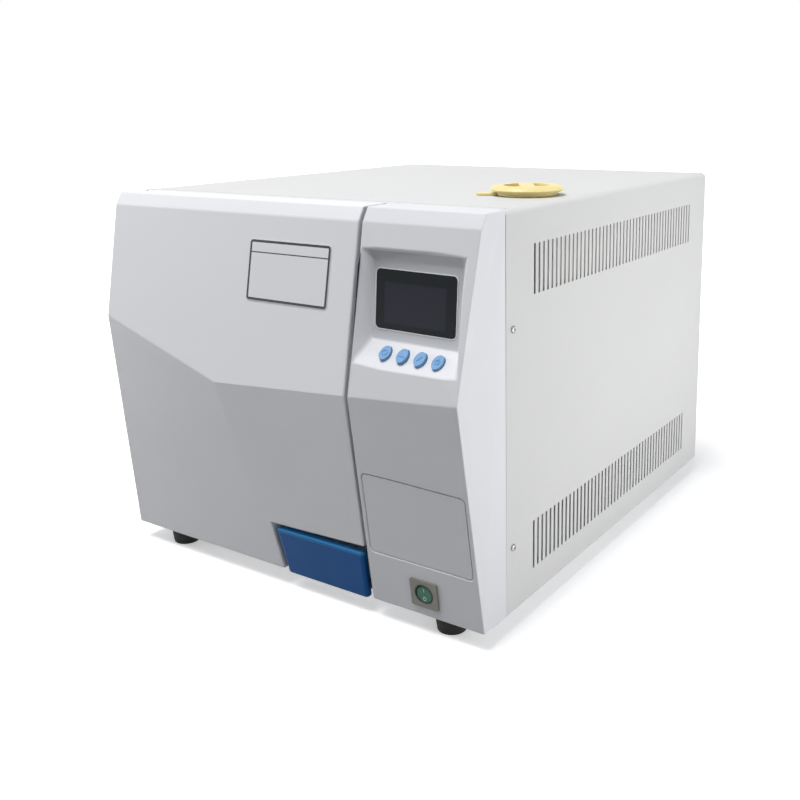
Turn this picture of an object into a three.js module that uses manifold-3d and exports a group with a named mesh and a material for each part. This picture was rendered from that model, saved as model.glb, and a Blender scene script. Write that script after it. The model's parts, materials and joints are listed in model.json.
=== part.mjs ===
// Benchtop laboratory autoclave: a faceted swing door, a control column, a vented casing
// and a horizontal pressure chamber, as separate pieces. Millimetres, +Z up, front towards -Y.
import * as THREE from "three";
import { mergeVertices } from "three/addons/utils/BufferGeometryUtils.js";
import Module from "manifold-3d";

const wasm = await Module();
wasm.setup();

// Clearances and cutting
const seat = 0.3; // between two pieces that touch
const overrun = 5; // how far a cutting body runs past the face it cuts

// Casing
const bodyWidth = 480;
const bodyHeight = 389; // underside to top, without feet
const bodyDepth = 550; // bottom front edge to the rear edge of the cover
const halfWidth = bodyWidth / 2;
const sheet = 1.5; // sheet metal of the casing
const coverEdgeRadius = 6;
const sideSeam = 40; // front edge of the cover at the sides
const topSeam = 52; // front edge of the cover on top
const plate = 2; // frame plates
const frameGap = 3.5; // from the mouldings' rear edge to the front frame
const panFront = 16; // front edge of the base pan, under the door
const panWall = 18; // its folded edges
const rearFittings = 14; // how far the drain reaches behind the rear panel

// Ventilation slots, two rows on each side
const slotPitch = 8.72;
const slotWidth = 3.4;
const slotStart = 93; // first slot's centre
const slotRear = 55.88; // from the last slot's centre to the cover's rear edge
const slotCount = Math.round((bodyDepth - slotStart - slotRear) / slotPitch) + 1;
const upperSlotDrop = 36; // from the top of the casing
const upperSlotLength = 48;
const upperSlotHigh = bodyHeight - upperSlotDrop;
const upperSlotLow = upperSlotHigh - upperSlotLength;
const lowerSlotLow = 28;
const lowerSlotHigh = 78;

// Front mouldings: the shoulder, the crease and the foot of the facets
const moulding = 2.5; // wall of the plastic covers
const topEdge = 8; // depth of the bevel's upper edge
const columnWidth = 129.5;
const doorGap = 4.5; // between the door and the column
const columnEdge = halfWidth - columnWidth;
const doorEdge = columnEdge - doorGap;
const doorLeft = -halfWidth;
const shoulderDrop = 13; // the heights of the facets are set from the top of the casing
const creaseLeftDrop = 135;
const creaseTurnDrop = 184.2;
const creaseGapDrop = 173;
const creaseRightDrop = 161;
const shoulderHeight = bodyHeight - shoulderDrop;
const creaseLeftHeight = bodyHeight - creaseLeftDrop;
const creaseTurnHeight = bodyHeight - creaseTurnDrop;
const creaseGapHeight = bodyHeight - creaseGapDrop;
const creaseRightHeight = bodyHeight - creaseRightDrop;
const creaseLeftOut = 22.5;
const creaseTurnOut = 32.4;
const creaseGapOut = 30.2;
const creaseRightOut = 37;
const creaseRightInset = 3;
const turnInset = 170; // from the door's right edge to the turn of the crease
const facetInset = 127; // from there to the foot of the slanting facet edge
const facetParts = 6; // the facet left of the turn is twisted, so it is made of parts each way
const creaseTurnAt = doorEdge - turnInset;
const facetFootAt = doorEdge - facetInset;
const mouldingBack = 37; // rear edge of the door and of the column cover

// Door hinge
const hingeInset = 8; // from the casing's side
const hingeX = doorLeft + hingeInset;
const hingeY = 29;
const hingeRadius = 7.5;
const hingePinRadius = 3;
const hingePinLength = 34;
const hingeRelief = 1; // room around the hinge post
const postLow = 62;
const postDrop = 63; // from the top of the casing
const postHigh = bodyHeight - postDrop;
const lugHeight = 14;
const leafWidth = 10;

// Blank cover of the printer bay
const blankGapLeft = 4.8; // from the column's edges
const blankGapRight = 6.5;
const blankTopShare = 0.6412; // of the crease's height at the column's left edge
const blankFootShare = 0.2574;
const blankLeft = columnEdge + blankGapLeft;
const blankRight = halfWidth - blankGapRight;
const blankTop = creaseGapHeight * blankTopShare;
const blankFoot = creaseGapHeight * blankFootShare;
const blankRadius = 5;
const blankThickness = 2;
const grooveWidth = 0.7;
const grooveDepth = 0.4; // how far the blank lies below the facet

// Handle in the corner of the door
const handleSide = 3; // from the door's right edge
const handleTopWidth = 115;
const handleFootWidth = 107;
const handleRight = doorEdge - handleSide;
const handleLeftTop = handleRight - handleTopWidth;
const handleLeftFoot = handleRight - handleFootWidth;
const handleTop = 49;
const handleDrop = 3; // how far it hangs below the door
const handleThickness = 9;
const notchGapTop = 6.2; // between the notch and the handle
const notchGapFoot = 5.6;
const notchRise = 8;
const notchSlant = 3.5; // how much lower its upper edge is at the left
const notchLeftTop = handleLeftTop - notchGapTop;
const notchLeftFoot = handleLeftFoot - notchGapFoot;
const notchTop = handleTop + notchRise;
const notchBack = 30;
const pivotInset = 97; // from the handle's right edge
const pivotX = handleRight - pivotInset;
const pivotY = 4;
const pivotRadius = 4;
const hubRadius = 7;
const crankRise = 4.5; // above the printer bay's cover
const crankHeight = 6;
const crankLow = blankTop + crankRise;
const crankPinRadius = 2;
const boltHeight = 8;
const boltDepth = 10;
const boltCover = 11.4; // from the facet to the bolt's middle
const boltMiddle = crankLow + crankHeight + seat + boltHeight / 2;
const crankLength = pivotY + (creaseGapOut * boltMiddle) / creaseGapHeight - boltCover;
const boltSlotWidth = 5;
const boltGuideInset = 22; // from the door's right edge
const boltGuideAt = doorEdge - boltGuideInset;
const boltGuideWidth = 8;
const guideWall = 4;
const hubLow = 8;
const bearingRise = 21; // above the notch
const bearingLow = notchTop + bearingRise;
const bearingHeight = 5;
const keeperDepth = 12;

// Pressure chamber
const chamberX = (doorLeft + doorEdge) / 2;
const chamberRise = 0.5; // its axis above the middle of the casing
const chamberZ = bodyHeight / 2 + chamberRise;
const chamberRoom = 50; // from the door's side edges to the bore
const chamberRadius = (doorEdge - doorLeft) / 2 - chamberRoom; // inside
const chamberWall = 2;
const chamberDome = 34; // depth of the dished rear end
const chamberRear = 31.2; // from the dished end to the rear panel
const frameFront = mouldingBack + frameGap;
const frameBack = frameFront + plate;
const flangeFront = frameBack + seat;
const rearPanelFront = bodyDepth - plate;
const chamberLength = rearPanelFront - chamberRear - chamberDome - flangeFront; // straight part
const flangeWidth = 17;
const flangeRadius = chamberRadius + flangeWidth;
const flangeThickness = 12;
const flangeCover = 4; // how far the front frame covers the flange
const mouthRadius = flangeRadius - flangeCover;
const insulationThickness = 16;
const insulationStart = 70;
const insulationShort = 12.8; // from its rear end to the end of the straight part
const insulationEnd = flangeFront + chamberLength - insulationShort;
const heaterThickness = 3;
const heaterLength = 60;
const cradleThickness = 12;
const cradleWidth = 190;
const cradleFront = 110;
const cradleInset = 70; // from the insulation's rear end
const cradleRear = insulationEnd - cradleInset;
const heaterGap = 80; // between it and the rear cradle
const heaterStart = cradleRear - heaterGap - heaterLength;

// Door inside
const plateInset = 1; // inside the flange's edge
const plateRadius = flangeRadius - plateInset;
const plateFront = 31;
const plateBack = 39;
const gasketRoom = 7; // from the bore to the middle of the gasket
const gasketRadius = chamberRadius + gasketRoom;
const gasketWidth = 7;
const armFront = 22;
const armBack = 28;
const armWidth = 46;
const armInset = 16; // from the door's right edge
const armRight = doorEdge - armInset;
const strapGap = 10; // from the hinge's axis
const strapLeft = hingeX + strapGap;
const strapWidth = 28;
const bossRadius = 18; // between the arm and the pressure plate
const bossSize = 6; // posts of the cover that meet the arm
const plateLip = 1.1;
const plateStep = 5;
const plateDish = 5;
const gasketRound = 1.5;
const leafInner = 1; // how far the leaf reaches outwards from the hinge's axis

// Trays and their rack
const trayCount = 3;
const trayWidthShare = 0.683; // of the bore
const trayPitchShare = 0.39; // this and the next of the bore's radius
const trayLowestShare = 0.504;
const trayPitch = chamberRadius * trayPitchShare;
const trayWidth = 2 * chamberRadius * trayWidthShare;
const trayShort = 80; // shorter than the straight part of the chamber
const trayLength = chamberLength - trayShort;
const trayDepth = 14;
const trayWall = 1;
const trayStart = 80;
const trayLowest = -chamberRadius * trayLowestShare; // the lowest tray from the chamber's axis
const rackSheet = 1.5;
const rackFoot = 9;

// Control recess
const recessGap = 3; // from the column's left edge
const recessSideTop = 11; // from the column's right edge
const recessSideFoot = 6;
const recessDrop = 24; // from the shoulder
const recessHeight = 103;
const recessLeft = columnEdge + recessGap;
const recessRightTop = halfWidth - recessSideTop;
const recessRightFoot = halfWidth - recessSideFoot;
const recessTop = shoulderHeight - recessDrop;
const recessFoot = recessTop - recessHeight;
const recessFootOutLeft = 23.5;
const recessFootOutRight = 33.5;
const panelGapLeft = 9; // the four gaps lead from the recess's rim to the panel
const panelGapRight = 5;
const panelGapTop = 10.5;
const panelGapFoot = 19.5;
const panelLeft = recessLeft + panelGapLeft;
const panelRight = recessRightTop - panelGapRight;
const panelTop = recessTop - panelGapTop;
const panelFoot = recessFoot + panelGapFoot;
const panelTopLeftOut = -1.3;
const panelTopRightOut = 2.6;
const panelFootLeftOut = 5;
const panelWall = 3;
const windowGapLeft = 3.5; // from the panel's edges
const windowGapRight = 6.7;
const windowGapTop = 7.5;
const windowGapFoot = 10.5;
const windowLeft = panelLeft + windowGapLeft;
const windowRight = panelRight - windowGapRight;
const windowTop = panelTop - windowGapTop;
const windowFoot = panelFoot + windowGapFoot;
const windowRadius = 5;
const windowProud = 0.6;
const windowDepth = 2;

// Buttons on the sloping shelf
const buttonCount = 4;
const buttonRadius = 7.8; // up the shelf
const buttonNarrow = 0.72; // its width across the shelf, as a share of its length
const buttonStartShare = 0.2305; // of the panel's width
const buttonPitchShare = 0.2;
const buttonFirst = panelLeft + (panelRight - panelLeft) * buttonStartShare;
const buttonPitch = (panelRight - panelLeft) * buttonPitchShare;
const buttonProud = 2.2;
const buttonTravel = 1.5;
const buttonCollar = 1.6; // thickness of the cap below the shelf's face
const stemRadius = 3;
const buttonGap = 0.35;
const boardThickness = 1.6;
const boardDrop = 14; // from the shelf's face to the button board
const boardWidth = 15;
const displayDepth = 12;
const buttonEdgeShare = 0.7;
const buttonTopShare = 0.92;
const buttonBossShare = 0.7; // from the last button to the boss beside it, as a share of the pitch
const recessReachShare = 1.7; // how far the recess's cutting body runs, as a share of its depth

// Power switch
const switchSide = 64; // from the column's right edge
const switchX = halfWidth - switchSide;
const switchZ = 25;
const switchWidth = 31;
const switchHeight = 29;
const switchProud = 2;
const switchDepth = 24;
const rockerRadius = 9.6;
const rockerDepth = 9;
const rockerSwing = 9; // degrees each way from level
const rockerFace = 4; // from the rocker's axis to its face
const rockerSet = 3; // from the facet to the rocker's axis
const axleRadius = 1.4;

// Filler and tank
const fillerSide = 54; // from the casing's right side
const fillerX = halfWidth - fillerSide;
const fillerY = 173;
const capRadius = 38;
const capHeight = 7;
const capSkirtRadius = 30.5;
const capTab = 14; // reach of the tab past the cap's rim
const capTabWidth = 18;
const capTabThickness = 2;
const capTabTurn = 0.42; // radians
const capTurn = 0.58; // radians
const capPlug = 8;
const capWell = 3;
const capBarWidth = 15;
const capBaseShare = 0.86;
const capBellyShare = 0.42;
const capShoulderShare = 0.8;
const capRimShare = 0.95;
const capFlatShare = 0.86;
const capWellShare = 0.62;
const neckRadius = 27;
const neckWall = 2.5;
const neckRise = 3;
const tankOverlap = 18; // how far it reaches behind the door
const tankSide = 8; // from the casing's right side
const tankGap = 50; // from its rear end to the rear of the casing
const tankDrop = 11; // below the top of the casing
const tankHeight = 116;
const tankLeft = doorEdge - tankOverlap;
const tankRight = halfWidth - tankSide;
const tankFront = 110;
const tankRear = bodyDepth - tankGap;
const tankHigh = bodyHeight - tankDrop;
const tankLow = tankHigh - tankHeight;
const tankWall = 3;
const shelfWidth = 24; // posts under the tank
const shelfPost = 14;

// Feet and screws
const footRadius = 17;
const footTaper = 2.5;
const footHeight = 20;
const footSide = 52; // from the casing's sides
const footX = halfWidth - footSide;
const footFront = 24;
const footGap = 58; // from the rear of the casing
const footRear = bodyDepth - footGap;
const screwRadius = 3.6;
const screwHead = 1.8;
const screwEdgeShare = 0.9;
const screwTopShare = 0.55;
const screwShank = 1.6;
const screwReach = 8;
const screwY = 52;
const screwDrop = 110; // from the top of the casing
const screwUpper = bodyHeight - screwDrop;
const screwLower = 66;
const flangeDepth = 24; // frame's side flanges behind the plate

// Rear fittings
const inletSide = 90; // from the casing's right side
const inletX = halfWidth - inletSide;
const inletZ = 60;
const inletWidth = 48;
const inletHeight = 32;
const inletFlange = 5;
const inletDepth = 26;
const inletWell = 14;
const fuseZ = 105;
const fusePitch = 30;
const fuseRadius = 7;
const fuseCap = 8;
const drainSide = 90; // from the casing's left side
const drainX = drainSide - halfWidth;
const drainZ = 50;
const drainRadius = 6;
const drainNut = 11;
const drainNeckShare = 0.9;
const drainTipShare = 0.7;

// Machinery on the base
const pumpSide = 80; // from the casing's right side
const pumpX = halfWidth - pumpSide;
const pumpRadius = 24;
const pumpRise = 30;
const pumpFront = 70;
const pumpLength = 60;
const pumpHead = 18;
const valveFrontShare = 0.3455; // places along the casing, of its depth
const supplyFrontShare = 0.5455;
const condenserFrontShare = 0.7818;
const valveFront = bodyDepth * valveFrontShare;
const valvePitch = 46;
const valveSize = 28;
const pipeRadius = 4;
const supplySide = 38; // from the casing's right side
const supplyGap = 20; // between it and the condenser
const supplyWidth = 84;
const supplyLeft = halfWidth - supplySide - supplyWidth;
const supplyFront = bodyDepth * supplyFrontShare;
const supplyLength = bodyDepth * condenserFrontShare - supplyGap - supplyFront;
const supplyHeight = 46;
const boardInset = 8;
const condenserSide = 38; // from the casing's right side
const condenserWidth = 84;
const condenserLeft = halfWidth - condenserSide - condenserWidth;
const condenserFront = bodyDepth * condenserFrontShare;
const condenserGap = 16; // between it and the inlet
const condenserLength = bodyDepth - inletDepth - condenserGap - condenserFront;
const condenserHeight = 90;
const condenserFins = 9;
const finEndShare = 0.75; // of a pitch, what the last fin keeps
const finPitch = condenserLength / (condenserFins + finEndShare);
const finRoot = 12;

// Materials, with the colours of the real surfaces
const paint = (color, roughness = 0.45, metalness = 0) =>
  new THREE.MeshStandardMaterial({ color, roughness, metalness });
const materials = {
  casing: paint(0xe4e6e8, 0.5),
  cover: paint(0xe9eaee, 0.4),
  steel: paint(0xb9bdc0, 0.35, 0.9),
  blue: paint(0x2a5a94, 0.4),
  button: paint(0x86b4e6, 0.4),
  black: paint(0x15171a, 0.7),
  glass: paint(0x25282e, 0.1),
  bezel: paint(0x7a766c, 0.5),
  green: paint(0x2c8a66, 0.3),
  yellow: paint(0xf0d873, 0.45),
  rubber: paint(0x1b1c1e, 0.9),
  wool: paint(0xd8d2c2, 1),
  board: paint(0x2f6b3f, 0.6),
  brass: paint(0xb59552, 0.35, 0.8),
};

// Solids

function solidOf(geometry) {
  const bare = geometry.clone();
  bare.deleteAttribute("normal");
  bare.deleteAttribute("uv");
  const merged = mergeVertices(bare, 1e-4);
  const triVerts = new Uint32Array(merged.index.array);
  const make = () =>
    new wasm.Manifold(new wasm.Mesh({ numProp: 3, vertProperties: merged.attributes.position.array,
    triVerts }));
  const solid = make();
  if (solid.volume() > 0) return solid;
  for (let i = 0; i < triVerts.length; i += 3) {
    [triVerts[i + 1], triVerts[i + 2]] = [triVerts[i + 2], triVerts[i + 1]];
  }
  return make();
}

function geometryOf(solid) {
  const mesh = solid.getMesh();
  const geometry = new THREE.BufferGeometry();
  geometry.setAttribute("position", new THREE.BufferAttribute(mesh.vertProperties, 3));
  geometry.setIndex(new THREE.BufferAttribute(mesh.triVerts, 1));
  geometry.computeVertexNormals();
  return geometry;
}

function box(x0, x1, y0, y1, z0, z1) {
  const geometry = new THREE.BoxGeometry(x1 - x0, y1 - y0, z1 - z0);
  geometry.translate((x0 + x1) / 2, (y0 + y1) / 2, (z0 + z1) / 2);
  return solidOf(geometry);
}

// A cylinder between two values of one axis; the other two coordinates place its centre line.
function rod(axis, radius, from, to, a, b, sides = 32, endRadius = radius) {
  const geometry = new THREE.CylinderGeometry(endRadius, radius, to - from, sides);
  const middle = (from + to) / 2;
  if (axis === "x") {
    geometry.rotateZ(-Math.PI / 2);
    geometry.translate(middle, a, b);
  } else if (axis === "y") {
    geometry.translate(a, middle, b);
  } else {
    geometry.rotateX(Math.PI / 2);
    geometry.translate(a, b, middle);
  }
  return solidOf(geometry);
}

function roundedOutline(x0, x1, z0, z1, radius) {
  const shape = new THREE.Shape();
  shape.moveTo(x0 + radius, z0);
  shape.lineTo(x1 - radius, z0);
  shape.absarc(x1 - radius, z0 + radius, radius, -Math.PI / 2, 0);
  shape.absarc(x1 - radius, z1 - radius, radius, 0, Math.PI / 2);
  shape.absarc(x0 + radius, z1 - radius, radius, Math.PI / 2, Math.PI);
  shape.absarc(x0 + radius, z0 + radius, radius, Math.PI, 1.5 * Math.PI);
  return shape;
}

// An outline in X and Z pushed along Y from front to back.
function prismY(shape, y0, y1, curveSegments = 6) {
  const geometry = new THREE.ExtrudeGeometry(shape, { depth: y1 - y0, bevelEnabled: false, curveSegments });
  geometry.rotateX(Math.PI / 2);
  geometry.translate(0, y1, 0);
  return solidOf(geometry);
}

// An outline in X and Y pushed upwards.
function prismZ(shape, z0, z1, curveSegments = 6) {
  const geometry = new THREE.ExtrudeGeometry(shape, { depth: z1 - z0, bevelEnabled: false, curveSegments });
  geometry.translate(0, 0, z0);
  return solidOf(geometry);
}

function outline(points) {
  return new THREE.Shape(points.map(([a, b]) => new THREE.Vector2(a, b)));
}

// A profile of radius and depth turned about a line along Y.
function turnedY(profile, x, z, sides = 64) {
  const geometry = new THREE.LatheGeometry(
    profile.map(([r, y]) => new THREE.Vector2(r, y)),
    sides,
  );
  geometry.translate(x, 0, z);
  const solid = solidOf(geometry);
  return solid;
}

// A closed body through rings of points; each ring is convex.
function loft(rings) {
  const count = rings[0].length;
  const positions = rings.flat(2);
  const index = [];
  rings.slice(1).forEach((_, r) => {
    for (let i = 0; i < count; i++) {
      const a = r * count + i;
      const b = r * count + ((i + 1) % count);
      index.push(a, b, a + count, b, b + count, a + count);
    }
  });
  const last = (rings.length - 1) * count;
  for (let i = 1; i < count - 1; i++) {
    index.push(0, i + 1, i, last, last + i, last + i + 1);
  }
  const geometry = new THREE.BufferGeometry();
  geometry.setAttribute("position", new THREE.Float32BufferAttribute(positions, 3));
  geometry.setIndex(index);
  return solidOf(geometry);
}

// The parts are drawn from the casing's bottom front edge, then set on the ground with the
// middle of the whole at the origin.
const object = new THREE.Group();
object.position.set(0, -(bodyDepth + rearFittings - creaseRightOut) / 2, footHeight);

function piece(name, solid, material) {
  const mesh = new THREE.Mesh(geometryOf(solid), material);
  mesh.name = name;
  object.add(mesh);
}

const innerHalf = halfWidth - sheet - seat;
const gasketFront = plateBack - plateLip + seat;
const gasketBack = flangeFront - seat;

// Front block: the outer form of door and column, grown inwards by a wall and back to a depth

const stations = {
  left: { x: -halfWidth, foot: -halfWidth, out: creaseLeftOut, height: creaseLeftHeight },
  turn: { x: creaseTurnAt, foot: facetFootAt, out: creaseTurnOut, height: creaseTurnHeight },
  doorEdge: { x: doorEdge, foot: doorEdge, out: creaseGapOut, height: creaseGapHeight },
  columnEdge: { x: columnEdge, foot: columnEdge, out: creaseGapOut, height: creaseGapHeight },
  right: {
    x: halfWidth,
    foot: halfWidth,
    out: creaseRightOut,
    height: creaseRightHeight,
    inset: creaseRightInset,
  },
};

function frontBlock(names, wall, back, side = wall) {
  const parts = names.includes("turn") ? facetParts : 1;
  return loft(
    names.map((name, i) => {
      const s = stations[name];
      const end = (i === 0 ? side : 0) - (i === names.length - 1 ? side : 0);
      const x = s.x + end;
      const foot = [s.foot + end, wall, wall];
      const crease = [x - (s.inset ?? 0), wall - s.out, s.height];
      const facet = Array.from({ length: parts + 1 }, (_, k) =>
        foot.map((v, axis) => v + ((crease[axis] - v) * k) / parts));
      return [
        [x, back, bodyHeight - wall],
        [s.foot + end, back, wall],
        ...facet,
        [x, wall, shoulderHeight - wall / 2],
        [x, topEdge + wall / 2, bodyHeight - wall],
      ];
    }),
  );
}

const lowerLug = postLow - 2 * seat - lugHeight;
const upperLug = postHigh + 2 * seat;
const doorBosses = [
  [strapLeft + strapWidth / 2, postHigh - lugHeight],
  [strapLeft + strapWidth / 2, postLow + lugHeight],
  [armRight - 2 * bossSize, chamberZ],
];
const bolt = {
  x0: pivotX - 2 * crankPinRadius - boltSlotWidth,
  x1: doorEdge - 2 * seat,
  y0: pivotY - crankLength - boltDepth / 2,
  y1: pivotY - crankLength + boltDepth / 2,
  z0: crankLow + crankHeight + seat,
  z1: crankLow + crankHeight + seat + boltHeight,
};
const keeperSlot = () => ({
  y0: bolt.y0 - 2 * seat,
  y1: bolt.y1 + 2 * seat,
  z0: bolt.z0 - 2 * seat,
  z1: bolt.z1 + 2 * seat,
});
const facets = Array.from({ length: facetParts - 1 }, (_, i) => "facet" + (i + 1));
facets.forEach((name, i) => {
  const mixed = (key) =>
    stations.left[key] + ((stations.turn[key] - stations.left[key]) * (i + 1)) / facetParts;
  stations[name] = {
    x: mixed("x"),
    foot: mixed("foot"),
    out: mixed("out"),
    height: mixed("height"),
  };
});
const doorStations = ["left", ...facets, "turn", "doorEdge"];
const columnStations = ["columnEdge", "right"];

// Feet

function feet() {
  const places = { fl: [-1, footFront], fr: [1, footFront], rl: [-1, footRear], rr: [1, footRear] };
  for (const [corner, [side, y]] of Object.entries(places)) {
    const foot = rod("z", footRadius - footTaper, -footHeight, -plate - 2 * seat, side * footX, y, 28,
      footRadius);
    piece("foot_" + corner, foot, materials.rubber);
  }
}
feet();

// Base pan: a plate under the whole machine, with edges folded up inside the cover

function basePan() {
  const floor = box(-innerHalf, innerHalf, panFront, bodyDepth, -seat - plate, -seat);
  const x = innerHalf - plate - seat;
  const y0 = frameBack + seat;
  const y1 = rearPanelFront - seat;
  const rim = box(-x, x, y0, y1, -seat - plate, panWall)
    .subtract(box(-x + plate, x - plate, y0 + plate, y1 - plate, -overrun, panWall + overrun));
  piece("base_pan", floor.add(rim), materials.steel);
}
basePan();

// Casing cover: a U of painted sheet with two rows of slots in each side

function casingCover() {
  const shell = new THREE.Shape();
  const r = coverEdgeRadius;
  shell.moveTo(-halfWidth, 0);
  shell.lineTo(-halfWidth + sheet, 0);
  shell.lineTo(-halfWidth + sheet, bodyHeight - r);
  shell.absarc(-halfWidth + r, bodyHeight - r, r - sheet, Math.PI, Math.PI / 2, true);
  shell.lineTo(halfWidth - r, bodyHeight - sheet);
  shell.absarc(halfWidth - r, bodyHeight - r, r - sheet, Math.PI / 2, 0, true);
  shell.lineTo(halfWidth - sheet, 0);
  shell.lineTo(halfWidth, 0);
  shell.lineTo(halfWidth, bodyHeight - r);
  shell.absarc(halfWidth - r, bodyHeight - r, r, 0, Math.PI / 2);
  shell.lineTo(-halfWidth + r, bodyHeight);
  shell.absarc(-halfWidth + r, bodyHeight - r, r, Math.PI / 2, Math.PI);
  let cover = prismY(shell, sideSeam, bodyDepth, 4);
  const lip = box(-halfWidth + coverEdgeRadius, halfWidth - coverEdgeRadius, sideSeam - overrun, topSeam,
    bodyHeight - coverEdgeRadius, bodyHeight + overrun);
  cover = cover.subtract(lip);
  const combs = [];
  for (const side of [-1, 1]) {
    for (const [low, high] of [[upperSlotLow, upperSlotHigh], [lowerSlotLow, lowerSlotHigh]]) {
      for (let i = 0; i < slotCount; i++) {
        const y = slotStart + i * slotPitch;
        const inner = side * (halfWidth - sheet - overrun / 2);
        const outer = side * (halfWidth + overrun / 2);
        combs.push(box(Math.min(inner, outer), Math.max(inner, outer), y - slotWidth / 2,
          y + slotWidth / 2, low, high));
      }
    }
    for (const z of [screwLower, screwUpper]) {
      combs.push(rod("x", screwShank + seat, side > 0 ? halfWidth - overrun : -halfWidth - overrun,
        side > 0 ? halfWidth + overrun : -halfWidth + overrun, screwY, z, 16));
    }
  }
  cover = cover.subtract(wasm.Manifold.union(combs));
  cover = cover.subtract(rod("z", neckRadius + seat, bodyHeight - overrun, bodyHeight + overrun, fillerX,
    fillerY, 36));
  piece("casing_cover", cover, materials.casing);
}
casingCover();

// Screws in the sides, through the cover into the front frame's flanges

function screws() {
  for (const [tag, side] of [["l", -1], ["r", 1]]) {
    for (const [level, z] of [["lower", screwLower], ["upper", screwUpper]]) {
      const head = new THREE.LatheGeometry(
        [
          [0, -screwReach],
          [screwShank, -screwReach],
          [screwShank, seat],
          [screwRadius, seat],
          [screwRadius * screwEdgeShare, seat + screwHead / 2],
          [screwRadius * screwTopShare, seat + screwHead * screwEdgeShare],
          [0, seat + screwHead],
        ].map(([r, h]) => new THREE.Vector2(r, h)),
        16,
      );
      head.rotateZ(-side * Math.PI / 2);
      head.translate(side * halfWidth, screwY, z);
      piece("screw_" + tag + "_" + level, solidOf(head), materials.steel);
    }
  }
}
screws();

// What a plate inside the cover leaves out for the cover's rounded top edges.
function topCorners(y0, y1) {
  const corner = (side) => {
    const x0 = side > 0 ? innerHalf - coverEdgeRadius : -innerHalf - overrun;
    return box(x0, x0 + coverEdgeRadius + overrun, y0 - overrun, y1 + overrun,
      bodyHeight - sheet - coverEdgeRadius,
      bodyHeight + overrun);
  };
  return corner(-1).add(corner(1));
}

// Front frame: bulkhead with the chamber's mouth, side flanges and the strip on top

function frontFrame() {
  const back = frameBack;
  let frame = box(-innerHalf, innerHalf, frameFront, back, 0, bodyHeight - sheet - seat);
  for (const side of [-1, 1]) {
    const x0 = side > 0 ? innerHalf - plate : -innerHalf;
    frame = frame.add(box(x0, x0 + plate, back - seat, back + flangeDepth, 0,
      bodyHeight - 2 * coverEdgeRadius));
    for (const z of [screwLower, screwUpper]) {
      frame = frame.subtract(rod("x", screwShank + seat, x0 - overrun, x0 + plate + overrun, screwY, z,
        16));
    }
  }
  frame = frame.add(box(-halfWidth + coverEdgeRadius + seat, halfWidth - coverEdgeRadius - seat, frameFront,
    topSeam - seat, bodyHeight - sheet - seat - plate, bodyHeight - seat));
  frame = frame.add(box(hingeX + 2 * hingeRadius, doorEdge, mouldingBack + seat, frameFront + seat,
    bodyHeight - sheet - seat - plate, bodyHeight - seat));
  frame = frame.subtract(topCorners(frameFront, back + flangeDepth));
  frame = frame.subtract(rod("y", mouthRadius, frameFront - overrun, back + overrun, chamberX, chamberZ,
    64));
  frame = frame.subtract(box(columnEdge + 3 * plate, halfWidth - flangeDepth, frameFront - overrun,
    back + overrun, blankFoot, panelTop));
  piece("front_frame", frame, materials.steel);
}
frontFrame();

// Rear panel with cut-outs for the inlet, the fuses and the drain

function rearPanel() {
  let panel = box(-innerHalf, innerHalf, rearPanelFront, bodyDepth, 0, bodyHeight - sheet - seat);
  panel = panel.subtract(topCorners(rearPanelFront, bodyDepth));
  panel = panel.subtract(box(inletX - inletWidth / 2, inletX + inletWidth / 2, rearPanelFront - overrun,
    bodyDepth + overrun, inletZ - inletHeight / 2, inletZ + inletHeight / 2));
  for (const side of [-1, 1]) {
    panel = panel.subtract(rod("y", fuseRadius + seat, rearPanelFront - overrun, bodyDepth + overrun,
      inletX + (side * fusePitch) / 2, fuseZ, 20));
  }
  panel = panel.subtract(rod("y", drainRadius + seat, rearPanelFront - overrun, bodyDepth + overrun,
    drainX, drainZ, 20));
  piece("rear_panel", panel, materials.casing);
}
rearPanel();

function rearFittingsSet() {
  const half = inletWidth / 2 - seat;
  const tall = inletHeight / 2 - seat;
  let inlet = box(inletX - half, inletX + half, bodyDepth - inletDepth, bodyDepth + seat, inletZ - tall,
    inletZ + tall);
  inlet = inlet.add(box(inletX - half - inletFlange, inletX + half + inletFlange, bodyDepth + seat,
    bodyDepth + seat + plate, inletZ - tall - inletFlange, inletZ + tall + inletFlange));
  inlet = inlet.subtract(box(inletX - half + 2 * plate, inletX + half - 2 * plate, bodyDepth - inletWell,
    bodyDepth + overrun, inletZ - tall + 2 * plate, inletZ + tall - 2 * plate));
  for (const side of [-1, 0, 1]) {
    const x = inletX + side * (inletWidth / 4);
    inlet = inlet.add(box(x - plate / 2, x + plate / 2, bodyDepth - inletWell - seat, bodyDepth - plate,
      inletZ - 2 * plate, inletZ + plate));
  }
  piece("power_inlet", inlet, materials.black);
  for (const [name, side] of [["fuse_holder_l", -1], ["fuse_holder_r", 1]]) {
    const x = inletX + (side * fusePitch) / 2;
    const body = rod("y", fuseRadius, bodyDepth - inletDepth, bodyDepth + seat, x, fuseZ, 20);
    const cap = rod("y", fuseRadius + plate, bodyDepth + seat, bodyDepth + seat + fuseCap, x, fuseZ, 20);
    piece(name, body.add(cap), materials.black);
  }
  const nut = rod("y", drainNut, bodyDepth + seat, bodyDepth + seat + 2 * plate, drainX, drainZ, 6);
  const barb = turnedY([
    [0, bodyDepth - inletDepth],
    [drainRadius, bodyDepth - inletDepth],
    [drainRadius, bodyDepth + rearFittings / 2],
    [drainRadius * drainNeckShare, bodyDepth + rearFittings / 2],
    [drainRadius * drainTipShare, bodyDepth + rearFittings],
    [0, bodyDepth + rearFittings],
  ], drainX, drainZ, 20);
  const bore = rod("y", drainRadius / 2, bodyDepth - inletWell, bodyDepth + rearFittings + overrun,
    drainX, drainZ, 16);
  piece("drain_fitting", barb.add(nut).subtract(bore), materials.brass);
}
rearFittingsSet();

// Pressure chamber with its flange, heater, insulation and cradles

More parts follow.
